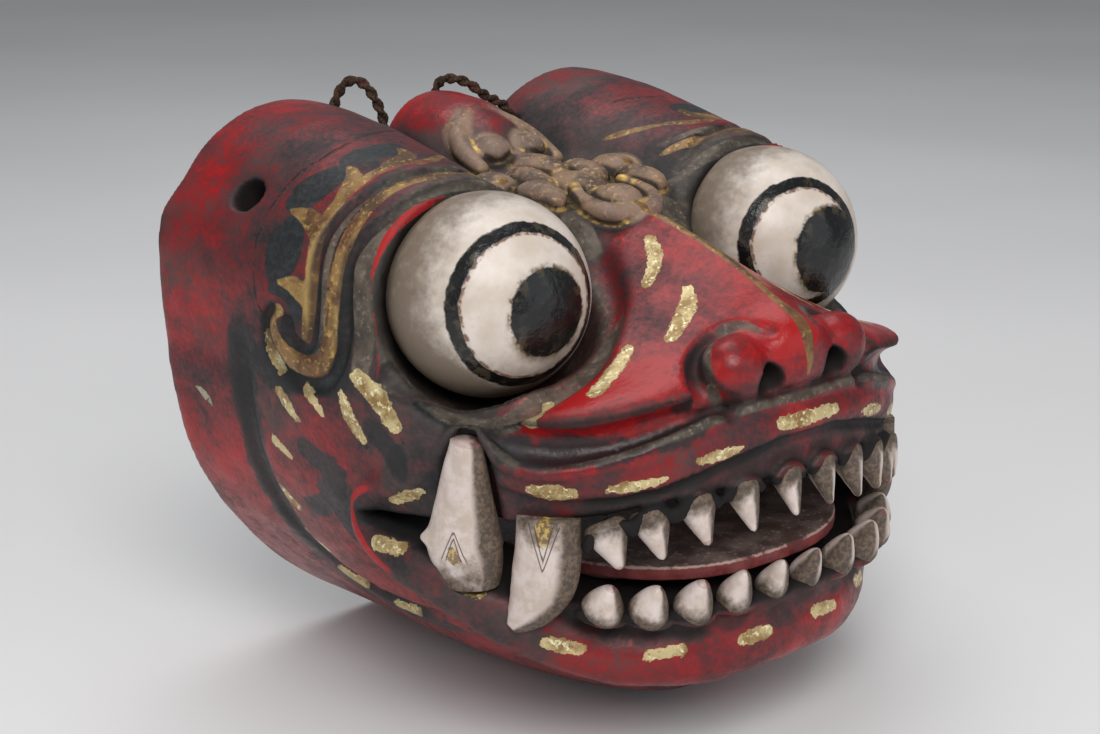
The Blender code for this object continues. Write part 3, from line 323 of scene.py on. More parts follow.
INCISED_LINES = [
    [(44, 40.7, 166.8, 0.4), (54.2, 45.6, 167.7, 0.4), (67.8, 48.4, 165.6, 0.4), (76.3, 47.6, 162.2, 0.4),
     (83.6, 45.4, 157.5, 0.4), (89.6, 44.9, 151.4, 0.4), (95, 45.8, 144.6, 0.4), (97.7, 46.6, 135.7, 0.4),
     (98.3, 47.2, 127.2, 0.4), (97.9, 49, 122.2, 0.4)],
    [(42.6, 74.4, 159.6, 0.3), (58.6, 78.2, 161.6, 0.3), (65.8, 76.2, 160.4, 0.3), (73.9, 74.4, 157.2, 0.3),
     (81.2, 73.8, 152.4, 0.3), (86.4, 73.3, 147, 0.3), (90.2, 73.6, 139.2, 0.3), (92.4, 74.2, 129.7, 0.3),
     (93.2, 74.2, 121.3, 0.3)],
    [(90.9, 91.6, 96.6, 0.25), (91.2, 90.4, 93.9, 0.5), (90.7, 89.3, 92, 0.6), (91.2, 85.8, 88.4, 0.2)],
    [(88.6, 97.6, 98, 0.2), (88, 103.6, 93, 0.25), (86, 109.6, 88.6, 0.15)],
]
CHIP_SHAPES = [[(-99.2, 13, 92.2, 1.2), (-98.6, 16.6, 89.8, 2), (-98.2, 19, 87, 1)]]

# How red the lacquer still is, by place (0 is worn to black and grey, 1 is bright), and each place's reach
TONE = [
    (60, 5, 172, 0.62), (85, 10, 160, 0.72), (99, 10, 135, 0.8), (101, 5, 110, 0.86), (99, 20, 120, 0.88),
    (98, 40, 105, 0.55), (90, 40, 150, 0.55), (75, 30, 166, 0.42), (55, 40, 169, 0.4), (40, 20, 168, 0.45),
    (30, 20, 158, 0.3), (99, 15, 95, 0.45), (97, 10, 85, 0.5), (92, 15, 70, 0.8), (84, 15, 52, 0.62),
    (70, 15, 34, 0.55), (96, 35, 125, 0.7), (97, 40, 112, 0.7), (96, 50, 100, 0.35), (95, 58, 88, 0.62),
    (94, 66, 92, 0.85), (93, 76, 90, 0.85), (92, 84, 86, 0.6), (91, 92, 90, 0.66), (90, 98, 94, 0.75),
    (88, 104, 98, 0.45), (86, 108, 92, 0.2), (84, 106, 84, 0.15), (80, 114, 100, 0.1), (93, 55, 74, 0.66),
    (91, 60, 64, 0.62), (88, 52, 58, 0.55), (86, 66, 58, 0.8), (82, 62, 46, 0.55), (76, 74, 40, 0.6),
    (70, 90, 34, 0.6), (64, 104, 28, 0.55), (87, 88, 70, 0.3), (86, 96, 66, 0.42), (80, 110, 58, 0.5),
    (74, 120, 48, 0.4), (66, 130, 44, 0.45), (55, 142, 40, 0.66), (40, 150, 37, 0.74), (20, 158, 37, 0.8),
    (0, 160, 37, 0.85), (50, 146, 32, 0.5), (20, 160, 31, 0.5), (40, 145, 20, 0.55), (0, 140, 14, 0.55),
    (0, 164, 48, 0.25), (40, 152, 46, 0.25), (66, 136, 86, 0.42), (50, 150, 88, 0.55), (30, 160, 93, 0.66),
    (0, 167, 99, 0.75), (60, 140, 80, 0.4), (40, 152, 84, 0.42), (20, 160, 88, 0.5), (0, 163, 90, 0.5),
    (60, 142, 76, 0.62), (40, 152, 78, 0.62), (20, 160, 82, 0.6), (10, 110, 142, 0.62), (20, 112, 134, 0.45),
    (20, 130, 132, 0.66), (30, 132, 124, 0.62), (10, 145, 130, 0.66), (4, 150, 132, 0.95), (6, 130, 138, 0.92),
    (45, 140, 114, 0.86), (60, 138, 107, 0.95), (45, 150, 106, 1), (35, 154, 110, 1), (54, 146, 103, 1),
    (68, 134, 103, 0.92), (30, 148, 116, 0.82), (20, 157, 118, 0.62), (20, 163, 112, 0.5), (0, 166, 116, 0.86),
    (6, 164, 112, 0.6), (12, 160, 120, 0.7), (0, 20, 170, 0.62), (12, 12, 167, 0.75), (0, 5, 170, 0.8),
    (20, 40, 158, 0.25), (18, 90, 146, 0.15), (90, 110, 110, 0.2), (0, 60, 0, 0.5), (40, 40, 6, 0.5),
    (70, 60, 26, 0.55), (60, 5, 20, 0.55), (95, 5, 70, 0.8),
    (87, 92, 70, 0.1), (86, 98, 66, 0.12), (84, 104, 63, 0.14), (82, 109, 60, 0.18), (79, 114, 57, 0.22),
    (85, 98, 89, 0.08), (83, 105, 88, 0.06), (89, 92, 86, 0.22), (88, 98, 103, 0.2), (90, 88, 104, 0.25),
    (94, 62, 101, 0.15), (96, 48, 104, 0.12), (95, 76, 102, 0.22), (93, 68, 96, 0.55),
]
TONE_REACH = 7.5

# How each eye is painted: axis and size of the pupil, axis, size and width of the ring, in degrees
EYE_LOOKS = [
    ("right", -1, (-0.042, -0.999, 0.010), 25.0, (-0.199, -0.978, 0.065), 51.0, 8.0),
    ("left", 1, (-0.017, -1.0, 0.024), 27.0, (-0.317, -0.942, 0.107), 44.6, 8.0),
]

# A cord's two strands: their radius, distance from its middle, length of a turn and of a step, and sides
STRAND = CORD / 4 + 0.14
STRAND_OFFSET = 0.72
STRAND_TURN = 8.4
STRAND_STEP = 0.45
STRAND_SIDES = 12

# The red lacquer from worn to bright, as sRGB hex
LACQUER = [
    (0, "17181a"), (0.18, "2a2325"), (0.36, "432528"), (0.54, "601f23"), (0.74, "7f171b"), (1, "a31316"),
]

# The studio: soft lamps as name, place, size, power and colour, then the floor and the sky
LAMPS = [
    ("key", (-0.62, -0.85, 1.05), 0.8, 13.0, (1.0, 0.985, 0.96)),
    ("fill", (0.45, -1.25, 0.5), 1.0, 2.4, (0.97, 0.98, 1.0)),
    ("side", (-1.3, 0.2, 0.5), 0.8, 1.6, (1.0, 1.0, 1.0)),
    ("top", (0.1, 0.35, 1.3), 0.9, 6.0, (1.0, 1.0, 1.0)),
]
FLOOR_SIZE = 6.0
SKY = (0.80, 0.82, 0.85, 1)
SKY_STRENGTH = 0.26


# Field tools and the carved head, as in the part: distances are negative inside the wood

def blend_min(a, b, k):
    h = np.clip(0.5 + 0.5 * (b - a) / k, 0, 1)
    return b + (a - b) * h - k * h * (1 - h)


def blend_max(a, b, k):
    return -blend_min(-a, -b, k)


def smooth_row(rows, pieces=3):
    """Catmull-Rom curve through the rows, with every column (a radius too) carried along."""
    points = np.asarray(rows, float)
    ends = np.vstack([2 * points[0] - points[1], points, 2 * points[-1] - points[-2]])
    out = []
    for i in range(1, len(ends) - 2):
        t = np.linspace(0, 1, pieces, endpoint=False)[:, None]
        a, b, c, d = ends[i - 1:i + 3]
        bend = 2 * b + (c - a) * t + (2 * a - 5 * b + 4 * c - d) * t ** 2
        out.append(0.5 * (bend + (3 * b - a - 3 * c + d) * t ** 3))
    out.append(points[-1:])
    return np.vstack(out)


def table(value, xs, ys):
    """Smooth curve through a short table, read at value."""
    row = smooth_row(np.stack([xs, ys], 1), 8)
    return np.interp(value, row[:, 0], row[:, 1]).astype(np.float32)


def ellipsoid(p, centre, radii):
    q = [(p[i] - centre[i]) / radii[i] for i in range(3)]
    k0 = np.sqrt(q[0] ** 2 + q[1] ** 2 + q[2] ** 2)
    k1 = np.sqrt(sum((q[i] / radii[i]) ** 2 for i in range(3)))
    return k0 * (k0 - 1) / np.maximum(k1, 1e-6)


def roll(p, rows):
    """Distance to a round roll whose centre line and radius follow the rows."""
    best = np.full(p[0].shape, 1e9, np.float32)
    for a, b in zip(rows[:-1], rows[1:]):
        run = b[:3] - a[:3]
        length = max(float(run @ run), 1e-9)
        t = np.clip(sum((p[i] - a[i]) * run[i] for i in range(3)) / length, 0, 1)
        off = np.sqrt(sum((p[i] - a[i] - t * run[i]) ** 2 for i in range(3)))
        best = np.minimum(best, off - (a[3] + t * (b[3] - a[3])))
    return best


def near(p, d, rows, reach, change):
    """Changes the field d only in the box around the rows, which keeps the work small."""
    low, high = rows[:, :3].min(0) - reach, rows[:, :3].max(0) + reach
    inside = np.ones(d.shape, bool)
    for i in range(3):
        inside &= (p[i] >= low[i]) & (p[i] <= high[i])
    if inside.any():
        d[inside] = change([a[inside] for a in p], d[inside])
    return d


def add_roll(p, d, rows, k):
    rows = smooth_row(rows)
    return near(p, d, rows, rows[:, 3].max() + 3 * k, lambda q, e: blend_min(e, roll(q, rows), k))


def cut_groove(p, d, rows, k):
    rows = smooth_row(rows)
    return near(p, d, rows, rows[:, 3].max() + 3 * k, lambda q, e: blend_max(e, -roll(q, rows), k))


def add_knob(p, d, centre, radii, k):
    spot = np.array([centre + (0,)], float)
    return near(p, d, spot, max(radii) + 3 * k, lambda q, e: blend_min(e, ellipsoid(q, centre, radii), k))


def superellipse(u, v, power):
    return (np.abs(u) ** power + np.abs(v) ** power) ** (1 / power)


def block_field(p, top=148):
    """The rounded block, drawn out to a blunt muzzle in front and cut off at the top."""
    x, f, z = p
    half = table(z, LEVEL, HALF_WIDTH)
    reach = table(z, LEVEL, REACH)
    u = x / (half * (1 - 0.05 * np.clip(f / 40, 0, 1)))
    v = np.maximum(f - 40, 0) / reach
    body = (superellipse(u, v, table(z, LEVEL, SQUARE)) - 1) * np.minimum(half, reach) * 0.93
    return blend_max(body, z - top, 8)


def lobe_field(p):
    """The long round lobe over each eye."""
    x, f, z = p
    radius = table(f, [-10, 0, 12, 35, 60, 80, 97], [42, 42, 42, 40, 36, 33, 31])
    height = table(f, [-10, 0, 35, 80, 97], [131, 131, 130, 128, 128])
    return blend_max(np.sqrt((x - 57) ** 2 + (z - height) ** 2) - radius, f - 91, 5)


def outer_field(p):
    """Block, lobes and the smaller lobe between them, before any carving."""
    d = blend_min(lobe_field(p), roll(p, smooth_row(MIDDLE_LOBE)), 7)
    return blend_min(block_field(p), d, 8)


def snout_field(p):
    """Roof-shaped snout whose lower edge rolls over as a shelf."""
    x, f, z = p
    side = 80 * (1 - np.clip((f - 100) / 66, 0, 1) ** 2.6) ** (1 / 2.6)
    across = np.clip(x / np.maximum(side, 4), 0, 1)
    crest = table(f, [96, 106, 114, 137, 158, 164, 172], [146, 147, 145, 138, 128, 125, 118])
    edge = table(f, [96, 130, 168], [104, 106, 113])
    top = crest - (crest - edge) * (1 - (1 - across) ** 1.4)
    plan = (superellipse(x / 80, np.maximum(f - 100, 0) / 66, 2.6) - 1) * 55
    d = blend_max((z - top) * 0.86, plan, 7)
    d = blend_max(d, table(f, [96, 130, 168], [97, 100, 108]) - z, 5)
    return blend_max(d, 60 - f, 8)


def mouth_field(p):
    _, f, z = p
    opening = blend_max(table(f, MOUTH_F, MOUTH_LOW) - z, z - table(f, MOUTH_F, MOUTH_TOP), 2)
    return blend_max(opening, 81 - f, 3)


def hollow_field(p, wall):
    """The inside: the outer form drawn in by the wall, open behind, kept off the eye sockets."""
    _, f, z = p
    ceiling = table(f, [-10, 40, 70, 100], [157, 153, 146, 137]) - wall
    d = blend_max(block_field(p, 200) + wall, z - ceiling, 8)
    d = blend_max(blend_min(d, lobe_field(p) + wall, 10), f - 147 + wall, 8)
    d = blend_max(d, 3 + wall - z, 8)
    return blend_max(d, -ellipsoid(p, EYE, (EYE_RADIUS + wall,) * 3), 4)


def head_field(p, wall):
    _, f, z = p
    d = blend_min(outer_field(p), snout_field(p), 3)
    d = add_roll(p, d, UPPER_LIP, 2.5)
    d = add_roll(p, d, LOWER_LIP, 2.5)
    d = blend_max(d, -ellipsoid(p, (57, 103, 129), (33, 26, 32)), 4)
    d = cut_groove(p, d, EYE_TROUGH, 3)
    d = cut_groove(p, d, BROW_GROOVE, 0.8)
    d = cut_groove(p, d, ARCH_GROOVE, 0.8)
    d = cut_groove(p, d, CHEEK_GROOVE, 2)
    d = cut_groove(p, d, CHIN_CREASE, 1.5)
    d = cut_groove(p, d, SHELF_RECESS, 1.5)
    d = add_roll(p, d, LIP_FILLET, 1)
    d = cut_groove(p, d, FANG_BED, 2)
    # nose: a bulb under the crest, flared wings and nostrils
    d = add_knob(p, d, (0, 157, 117), (11, 9.5, 9.5), 4)
    d = cut_groove(p, d, ALAR_GROOVE, 1.5)
    d = add_knob(p, d, (20.5, 157.5, 115), (9, 8.5, 8.5), 2)
    nostril = smooth_row(NOSTRIL)
    d = near(p, d, nostril, 8, lambda q, e: blend_max(e, -roll(q, nostril), 1.2))
    # crest ornament
    d = add_roll(p, d, ARCH_LEAF, 1.5)
    d = add_roll(p, d, CUP_RIM, 1.2)
    for centre, radii in KNOBS:
        d = add_knob(p, d, centre, radii, 1.5)
    d = blend_max(d, -mouth_field(p), 2)
    d = blend_max(d, -hollow_field(p, wall), 2)
    d = blend_max(d, -6 - f, 2)
    return blend_max(d, -6 - z, 2)


def mottled(q, size, seed):
    """Smooth value noise from -1 to 1 at layout points, with lumps of this size in mm."""
    cell = [np.asarray(a, np.float32) / size + 40 for a in q]
    base = [np.floor(a).astype(np.int64) for a in cell]
    frac = [a - b for a, b in zip(cell, base)]
    frac = [t * t * (3 - 2 * t) for t in frac]
    total = 0
    for corner in range(8):
        off = [(corner >> i) & 1 for i in range(3)]
        key, weight = seed, 1
        for i, prime in enumerate((73856093, 19349663, 83492791)):
            key = key ^ (base[i] + off[i]) * prime
            weight = weight * (frac[i] if off[i] else 1 - frac[i])
        key = (key * 2654435761) & 0xFFFFFFFF
        total = total + (((key >> 8) & 0xFFFF) / 32767.5 - 1) * weight
    return total


def gum_rims():
    """A low arch of gum over the root of each small tooth, as rolls."""
    rims = []
    for jaw, x, root, tip, width in TEETH:
        root, tip = np.array((x,) + root, float), np.array((x,) + tip, float)
        down = unit(tip - root)
        out = unit(np.array([x / 90, 1.0, 0.0]))
        across = unit(np.cross(down, out))
        middle = root + (tip - root) * 0.10 + out * width * 0.40
        half = width * 0.56
        climb = 0.75 if jaw == "upper" else 0.1
        arch = [middle + across * half * s + down * half * (climb * s * s - 0.12) - out * half * 0.5 * s * s
                for s in (-1, -0.6, 0, 0.6, 1)]
        rims.append([(*point, GUM_RIM) for point in arch])
    return rims


def fine_head_field(p):
    """The part's carving with the gum rims and the hand's unevenness on it."""
    d = head_field(p, WALL)
    d = cut_groove(p, d, LIP_GROOVE, 1.0)
    for rows in gum_rims():
        d = add_roll(p, d, rows, 1.4)
    return d + 0.28 * mottled(p, 13.0, 11).astype(np.float32) + 0.14 * mottled(p, 5.0, 23).astype(np.float32)


def bores(p):
    """For each drilled hole: places along its axis, distances beyond its wall, and its reach."""
    for centre, axis, size, reach in HOLES:
        off = [p[i] - centre[i] for i in range(3)]
        along = sum(off[i] * axis[i] for i in range(3))
        yield along, np.sqrt(np.maximum(sum(a * a for a in off) - along ** 2, 0)) - size / 2, reach


# Meshing

def sampled_field(step):
    half = np.arange(step / 2, 110, step)
    forward = np.arange(-6, 180, step)
    up = np.arange(-6, 182, step)
    p = [a.astype(np.float32) for a in np.meshgrid(half, forward, up, indexing="ij")]
    values = fine_head_field(p)
    for along, away, reach in bores(p):
        values = blend_max(values, -np.maximum(away, np.abs(along) - reach), 0.8)
    values = blend_max(values, -p[1], 2.6)
    values = blend_max(values, -p[2], 0.8)
    values = np.concatenate([values[::-1], values], 0)
    return values, np.array([-half[-1], forward[0], up[0]])


def sample(values, origin, step, points):
    """Field values at layout points, read between the grid's own."""
    q = (points - origin) / step
    shape = np.array(values.shape)
    base = np.clip(np.floor(q).astype(np.int64), 0, shape - 2)
    t = np.clip(q - base, 0, 1)
    out = 0
    for corner in range(8):
        off = np.array([(corner >> i) & 1 for i in range(3)])
        at = base + off
        weight = np.prod(np.where(off, t, 1 - t), axis=1)
        out = out + values[at[:, 0], at[:, 1], at[:, 2]] * weight
    return out


def slope(values, origin, step, points, reach=1.0):
    out = np.empty((len(points), 3))
    for i in range(3):
        shift = np.zeros(3)
        shift[i] = reach
        more, less = (sample(values, origin, step, points + s * shift) for s in (1, -1))
        out[:, i] = (more - less) / (2 * reach)
    return out


def surface_net(values, origin, step):
    """Quads round the negative values: a point in each cell that the surface crosses."""
    shape = values.shape
    inside = values < 0
    size = int(np.prod(shape))
    stride = (shape[1] * shape[2], shape[2], 1)
    sums = np.zeros((3, size))
    count = np.zeros(size)
    quads = []
    for axis in range(3):
        a = [slice(None)] * 3
        b = [slice(None)] * 3
        a[axis] = slice(0, -1)
        b[axis] = slice(1, None)
        crossing = np.argwhere(inside[tuple(a)] != inside[tuple(b)])
        va = values[tuple(a)][tuple(crossing.T)]
        vb = values[tuple(b)][tuple(crossing.T)]
        place = crossing.astype(float)
        place[:, axis] += va / (va - vb)
        one, two = [i for i in range(3) if i != axis]
        flat = crossing @ np.array(stride)
        cells = np.stack([flat, flat - stride[one], flat - stride[one] - stride[two], flat - stride[two]], 1)
        for k in range(4):
            count += np.bincount(cells[:, k], minlength=size)
            for i in range(3):
                sums[i] += np.bincount(cells[:, k], weights=place[:, i], minlength=size)
        outward = (va < 0) ^ (axis == 1)
        cells[~outward] = cells[~outward][:, ::-1]
        quads.append(cells)
    quads = np.concatenate(quads)
    used = np.flatnonzero(count)
    index = np.full(size, -1)
    index[used] = np.arange(len(used))
    points = (sums[:, used] / count[used]).T * step + origin
    return points, index[quads]


def to_world(points):
    q = np.atleast_2d(np.asarray(points, float))[:, :3]
    return np.stack([q[:, 0], HEAD_DEPTH / 2 - q[:, 1], q[:, 2]], 1) * MM


def to_layout(world):
    q = np.asarray(world, float) / MM
    return np.stack([q[:, 0], HEAD_DEPTH / 2 - q[:, 1], q[:, 2]], 1)


def mesh_points(mesh):
    co = np.empty(len(mesh.vertices) * 3)
    mesh.vertices.foreach_get("co", co)
    return co.reshape(-1, 3)


def unit(vectors):
    return vectors / np.maximum(np.linalg.norm(vectors, axis=-1, keepdims=True), 1e-6)


def linked(name, data):
    ob = bpy.data.objects.new(name, data)
    scene.collection.objects.link(ob)
    return ob


def mesh_of(name, bm, material):
    mesh = bpy.data.meshes.new(name)
    bm.to_mesh(mesh)
    bm.free()
    mesh.materials.append(material)
    return mesh


def make_object(name, points, faces, material):
    mesh = bpy.data.meshes.new(name)
    mesh.from_pydata(np.asarray(points).tolist(), [], [[int(v) for v in face] for face in faces])
    mesh.shade_smooth()
    mesh.materials.append(material)
    return linked(name, mesh)


def thin_out(ob, triangles):
    count = sum(len(face.vertices) - 2 for face in ob.data.polygons)
    if count > triangles:
        modifier = ob.modifiers.new("thin", "DECIMATE")
        modifier.ratio = triangles / count
        graph = bpy.context.evaluated_depsgraph_get()
        mesh = bpy.data.meshes.new_from_object(ob.evaluated_get(graph))
        ob.modifiers.clear()
        old, name = ob.data, ob.data.name
        ob.data = mesh
        bpy.data.meshes.remove(old)
        mesh.name = name
        mesh.shade_smooth()


def store(ob, name, values):
    attribute = ob.data.attributes.new(name, "FLOAT", "POINT")
    attribute.data.foreach_set("value", np.asarray(values, np.float32))


def shape_distance(q, shapes, pieces=2):
    best = np.full(q[0].shape, 60.0)
    for rows in shapes:
        rows = smooth_row(rows, pieces) if len(rows) > 2 else np.asarray(rows, float)
        best = near(q, best, rows, rows[:, 3].max() + 8, lambda a, e: np.minimum(e, roll(a, rows)))
    return best


# Shader helpers

def shade(code):
    """sRGB hex to a linear colour."""
    parts = [int(code[i:i + 2], 16) / 255 for i in (0, 2, 4)]
    return tuple(c / 12.92 if c < 0.04045 else ((c + 0.055) / 1.055) ** 2.4 for c in parts) + (1,)


class Paint:
    """A material's node tree with short names for the nodes it uses; a colour is given as sRGB hex."""

    def __init__(self, name):
        self.material = bpy.data.materials.new(name)
        self.material.use_nodes = True
        self.tree = self.material.node_tree
        self.shader = self.tree.nodes["Principled BSDF"]
        self.place = self.node("TexCoord", {}).outputs["Object"]

    def node(self, kind, inputs, **settings):
        """A new node with its settings made and its sockets linked or set."""
        node = self.tree.nodes.new("ShaderNode" + kind)
        for name, value in settings.items():
            setattr(node, name, value)
        for socket, value in inputs.items():
            self.link(value, node.inputs[socket])
        return node

    def link(self, value, socket):
        if isinstance(value, bpy.types.NodeSocket):
            self.tree.links.new(value, socket)
        else:
            socket.default_value = shade(value) if isinstance(value, str) else value

    def attribute(self, name):
        return self.node("Attribute", {}, attribute_name=name).outputs["Fac"]

    def noise(self, scale, detail=3.0, rough=0.55, stretch=None, distortion=0.0):
        place = self.place
        if stretch:
            place = self.node("Mapping", {"Vector": place, "Scale": stretch}).outputs["Vector"]
        inputs = {"Vector": place, "Scale": scale, "Detail": detail, "Roughness": rough}
        return self.node("TexNoise", {**inputs, "Distortion": distortion}).outputs["Fac"]

    def math(self, operation, a, b=0.0, clamp=False):
        return self.node("Math", {0: a, 1: b}, operation=operation, use_clamp=clamp).outputs[0]

    def plus(self, a, b):
        return self.math("ADD", a, b)

    def minus(self, a, b):
        return self.math("SUBTRACT", a, b)

    def times(self, a, b):
        return self.math("MULTIPLY", a, b)

    def most(self, a, b):
        return self.math("MAXIMUM", a, b)

    def swing(self, noise, amount):
        """A noise round nought, up to half the amount either way."""
        return self.times(self.minus(noise, 0.5), amount)

    def spread(self, value, low, high, out_low=0.0, out_high=1.0):
        inputs = {"Value": value, "From Min": low, "From Max": high, "To Min": out_low, "To Max": out_high}
        return self.node("MapRange", inputs, interpolation_type="SMOOTHSTEP").outputs["Result"]

    def mix(self, share, a, b, kind="RGBA"):
        return self.node("Mix", {"Factor": share, "A": a, "B": b}, data_type=kind).outputs["Result"]

    def blend(self, share, a, b):
        return self.mix(share, a, b, "FLOAT")

    def ramp(self, value, stops):
        node = self.node("ValToRGB", {"Fac": value})
        elements = node.color_ramp.elements
        while len(elements) < len(stops):
            elements.new(0.5)
        for element, (at, colour) in zip(elements, stops):
            element.position = at
            element.color = shade(colour)
        return node.outputs["Color"]

    def inside(self, name, jitter, amount, soft):
        """1 within the painted shape, with a ragged edge."""
        return self.spread(self.plus(self.attribute(name), self.swing(jitter, amount)), soft, -soft)

    def bump(self, height, strength, distance):
        inputs = {"Height": height, "Strength": strength, "Distance": distance}
        return self.node("Bump", inputs).outputs["Normal"]

    def finish(self, colour, roughness, normal=None, metallic=0.0, specular=0.5):
        """Links the finish to the shader; what is the same all over is set on its sockets."""
        if normal is not None:
            self.link(normal, self.shader.inputs["Normal"])
        sockets = ("Base Color", colour), ("Roughness", roughness), ("Metallic", metallic)
        for name, value in (*sockets, ("Specular IOR Level", specular)):
            self.link(value, self.shader.inputs[name])
        return self.material


# Finishes

def carving_paint():
    p = Paint("worn_painted_lacquer")
    big = p.noise(34, 4, 0.62)
    middle = p.noise(120, 4, 0.62)
    patchy = p.noise(78, 5, 0.68, distortion=0.5)
    streak = p.noise(70, 4, 0.65, (0.35, 1.0, 2.2), 0.6)
    fine = p.noise(620, 3, 0.6)
    grain = p.noise(1500, 2, 0.6)
    cavity = p.attribute("cavity")
    ridge = p.attribute("ridge")
    hollow = p.attribute("hollow")

    # red lacquer, worn to brown and black
    worn = p.plus(p.attribute("tone"), p.swing(big, 0.75))
    worn = p.plus(worn, p.spread(patchy, 0.38, 0.60, -0.15, 0.08))
    worn = p.plus(worn, p.swing(streak, 0.60))
    worn = p.plus(worn, p.swing(fine, 0.70))
    # recesses sink down the lacquer ramp toward black: painted shade in the hollows
    worn = p.math("SUBTRACT", worn, p.times(cavity, 0.45), clamp=True)
    colour = p.ramp(worn, LACQUER)
    rough = p.spread(worn, 0.1, 0.95, 0.62, 0.30)

    # thin pale dust
    film = p.times(p.spread(p.noise(22, 3, 0.6), 0.46, 0.70), 0.30)
    film = p.times(film, p.spread(worn, 0.9, 0.4))
    colour = p.mix(film, colour, "6a5d58")

    # soot, and the black paint of the patches and grooves
    soot = p.inside("soot", p.plus(p.times(patchy, 0.7), p.times(middle, 0.3)), 9.0, 0.9)
    colour = p.mix(p.times(soot, p.spread(patchy, 0.30, 0.44, 0.6, 0.92)), colour, "1d2123")
    black = p.inside("black", middle, 1.0, 0.3)
    patch = p.mix(p.spread(fine, 0.35, 0.75), "191d20", "2d3336")
    colour = p.mix(p.times(black, p.spread(middle, 0.18, 0.30, 0.75, 0.98)), colour, patch)
    rough = p.blend(black, rough, 0.48)

    # dusty grey-brown troughs round the eyes and along the brow, darkening to painted shade in the gap round
    # each eyeball
    dusty = p.mix(p.spread(middle, 0.35, 0.7), "3f382f", "6a6156")
    dusty = p.mix(p.spread(fine, 0.5, 0.8), dusty, "857a6e")
    socket = p.plus(p.attribute("socket"), p.swing(middle, 7.0))
    trough = p.times(p.spread(socket, 9.0, 5.0), 0.80)
    # the trough paint darkens toward the ball and goes near black beside it: painted shade in the gap round
    # each eyeball
    colour = p.mix(trough, colour, p.mix(p.spread(socket, 7.0, 3.0), dusty, "302c28"))
    colour = p.mix(p.spread(socket, 3.0, 0.8), colour, "12100f")
    grey = p.inside("grey", middle, 1.2, 0.45)
    colour = p.mix(p.times(grey, p.spread(streak, 0.25, 0.5, 0.6, 0.95)), colour, dusty)
    rough = p.blend(p.most(grey, trough), rough, 0.62)

    # the old gold of the forehead ornament, bright on its ridges
    crest = p.spread(p.attribute("crest"), 2.6, 0.6)
    old_gold = p.mix(p.spread(middle, 0.36, 0.62), "54443a", "957860")
    old_gold = p.mix(p.spread(fine, 0.54, 0.68), old_gold, "b8966c")
    old_gold = p.mix(p.spread(big, 0.46, 0.58, 0.0, 0.6), old_gold, "8b7569")
    bright = p.times(p.spread(ridge, 0.18, 0.40), p.spread(patchy, 0.36, 0.50))
    old_gold = p.mix(bright, old_gold, "d2ab5e")
    colour = p.mix(p.times(crest, 0.92), colour, old_gold)
    rough = p.blend(crest, rough, p.blend(bright, 0.55, 0.32))

    # gold bands of the brow and the snout
    gold = p.inside("gold", fine, 0.9, 0.25)
    band = p.mix(p.spread(middle, 0.38, 0.60), "5d4430", "8f6f45")
    band = p.mix(p.spread(fine, 0.54, 0.68), band, "b79558")
    band = p.mix(p.spread(big, 0.54, 0.66, 0.0, 0.5), band, "67332a")
    band = p.mix(p.times(p.spread(ridge, 0.10, 0.40), p.spread(patchy, 0.46, 0.58)), band, "d0b06a")
    gold = p.times(gold, p.spread(fine, 0.24, 0.34, 0.35, 1.0))
    colour = p.mix(gold, colour, band)
    rough = p.blend(gold, rough, 0.42)
    metal = p.times(p.most(gold, p.times(crest, bright)), 0.35)

    # fresh red edges
    red = p.inside("red", fine, 0.7, 0.3)
    colour = p.mix(p.times(red, p.spread(middle, 0.3, 0.5, 0.45, 1.0)), colour, "a8171a")

    # ragged flakes of gold leaf
    ragged = p.plus(p.times(fine, 0.55), p.times(middle, 0.45))
    leaf = p.inside("leaf", ragged, 5.0, 0.12)
    leafing = p.mix(p.spread(middle, 0.36, 0.60), "8f7143", "cfbd8b")
    leafing = p.mix(p.spread(fine, 0.52, 0.66), leafing, "efe4b8")
    leaf = p.times(leaf, p.spread(grain, 0.30, 0.38, 0.25, 1.0))
    colour = p.mix(leaf, colour, leafing)
    rough = p.blend(leaf, rough, 0.38)
    metal = p.most(metal, p.times(leaf, 0.3))

    # dark gums, recesses darkened as painted shade with some soiling, cracks and openings darkened as painted
    # shade, chips and the raw wood inside
    gum = p.plus(p.attribute("gum"), p.swing(middle, 3.0))
    colour = p.mix(p.spread(gum, 2.2, 0.2, 0.0, 0.62), colour, "2c1a19")
    # darker in the recesses: painted shade, with some soiling
    dirt_and_shade = p.spread(p.plus(cavity, p.swing(middle, 0.5)), 0.18, 0.80)
    colour = p.mix(p.times(dirt_and_shade, 0.86), colour, "151211")
    rough = p.blend(dirt_and_shade, rough, 0.75)
    # the incised lines go nearly black: painted shade in the cuts
    line = p.spread(p.attribute("line"), 0.45, -0.15)
    colour = p.mix(p.times(line, 0.8), colour, "171110")
    # near black inside the mouth, the nostrils and the drilled holes: painted shade in the openings
    dark = p.spread(p.attribute("dark"), 0.9, -0.4)
    colour = p.mix(p.times(dark, 0.97), colour, "0c0a0a")
    rough = p.blend(dark, rough, 0.8)
    chip = p.inside("chip", fine, 1.2, 0.2)
    colour = p.mix(chip, colour, p.mix(p.spread(fine, 0.4, 0.6), "8d8f7c", "b3aa92"))
    raw = p.mix(p.spread(streak, 0.3, 0.7), "2c1d14", "57402c")
    colour = p.mix(hollow, colour, raw)
    rough = p.blend(hollow, rough, 0.8)
    metal = p.times(metal, p.minus(1.0, p.most(hollow, dirt_and_shade)))

    height = p.plus(p.times(middle, 0.5), p.times(fine, 0.35))
    height = p.plus(height, p.times(grain, 0.08))
    height = p.minus(height, p.times(line, 0.9))
    height = p.minus(height, p.times(chip, 0.7))
    height = p.plus(height, p.times(p.most(gold, leaf), 0.12))
    normal = p.bump(height, 0.55, 0.0006)
    return p.finish(colour, rough, normal, metal, 0.4)


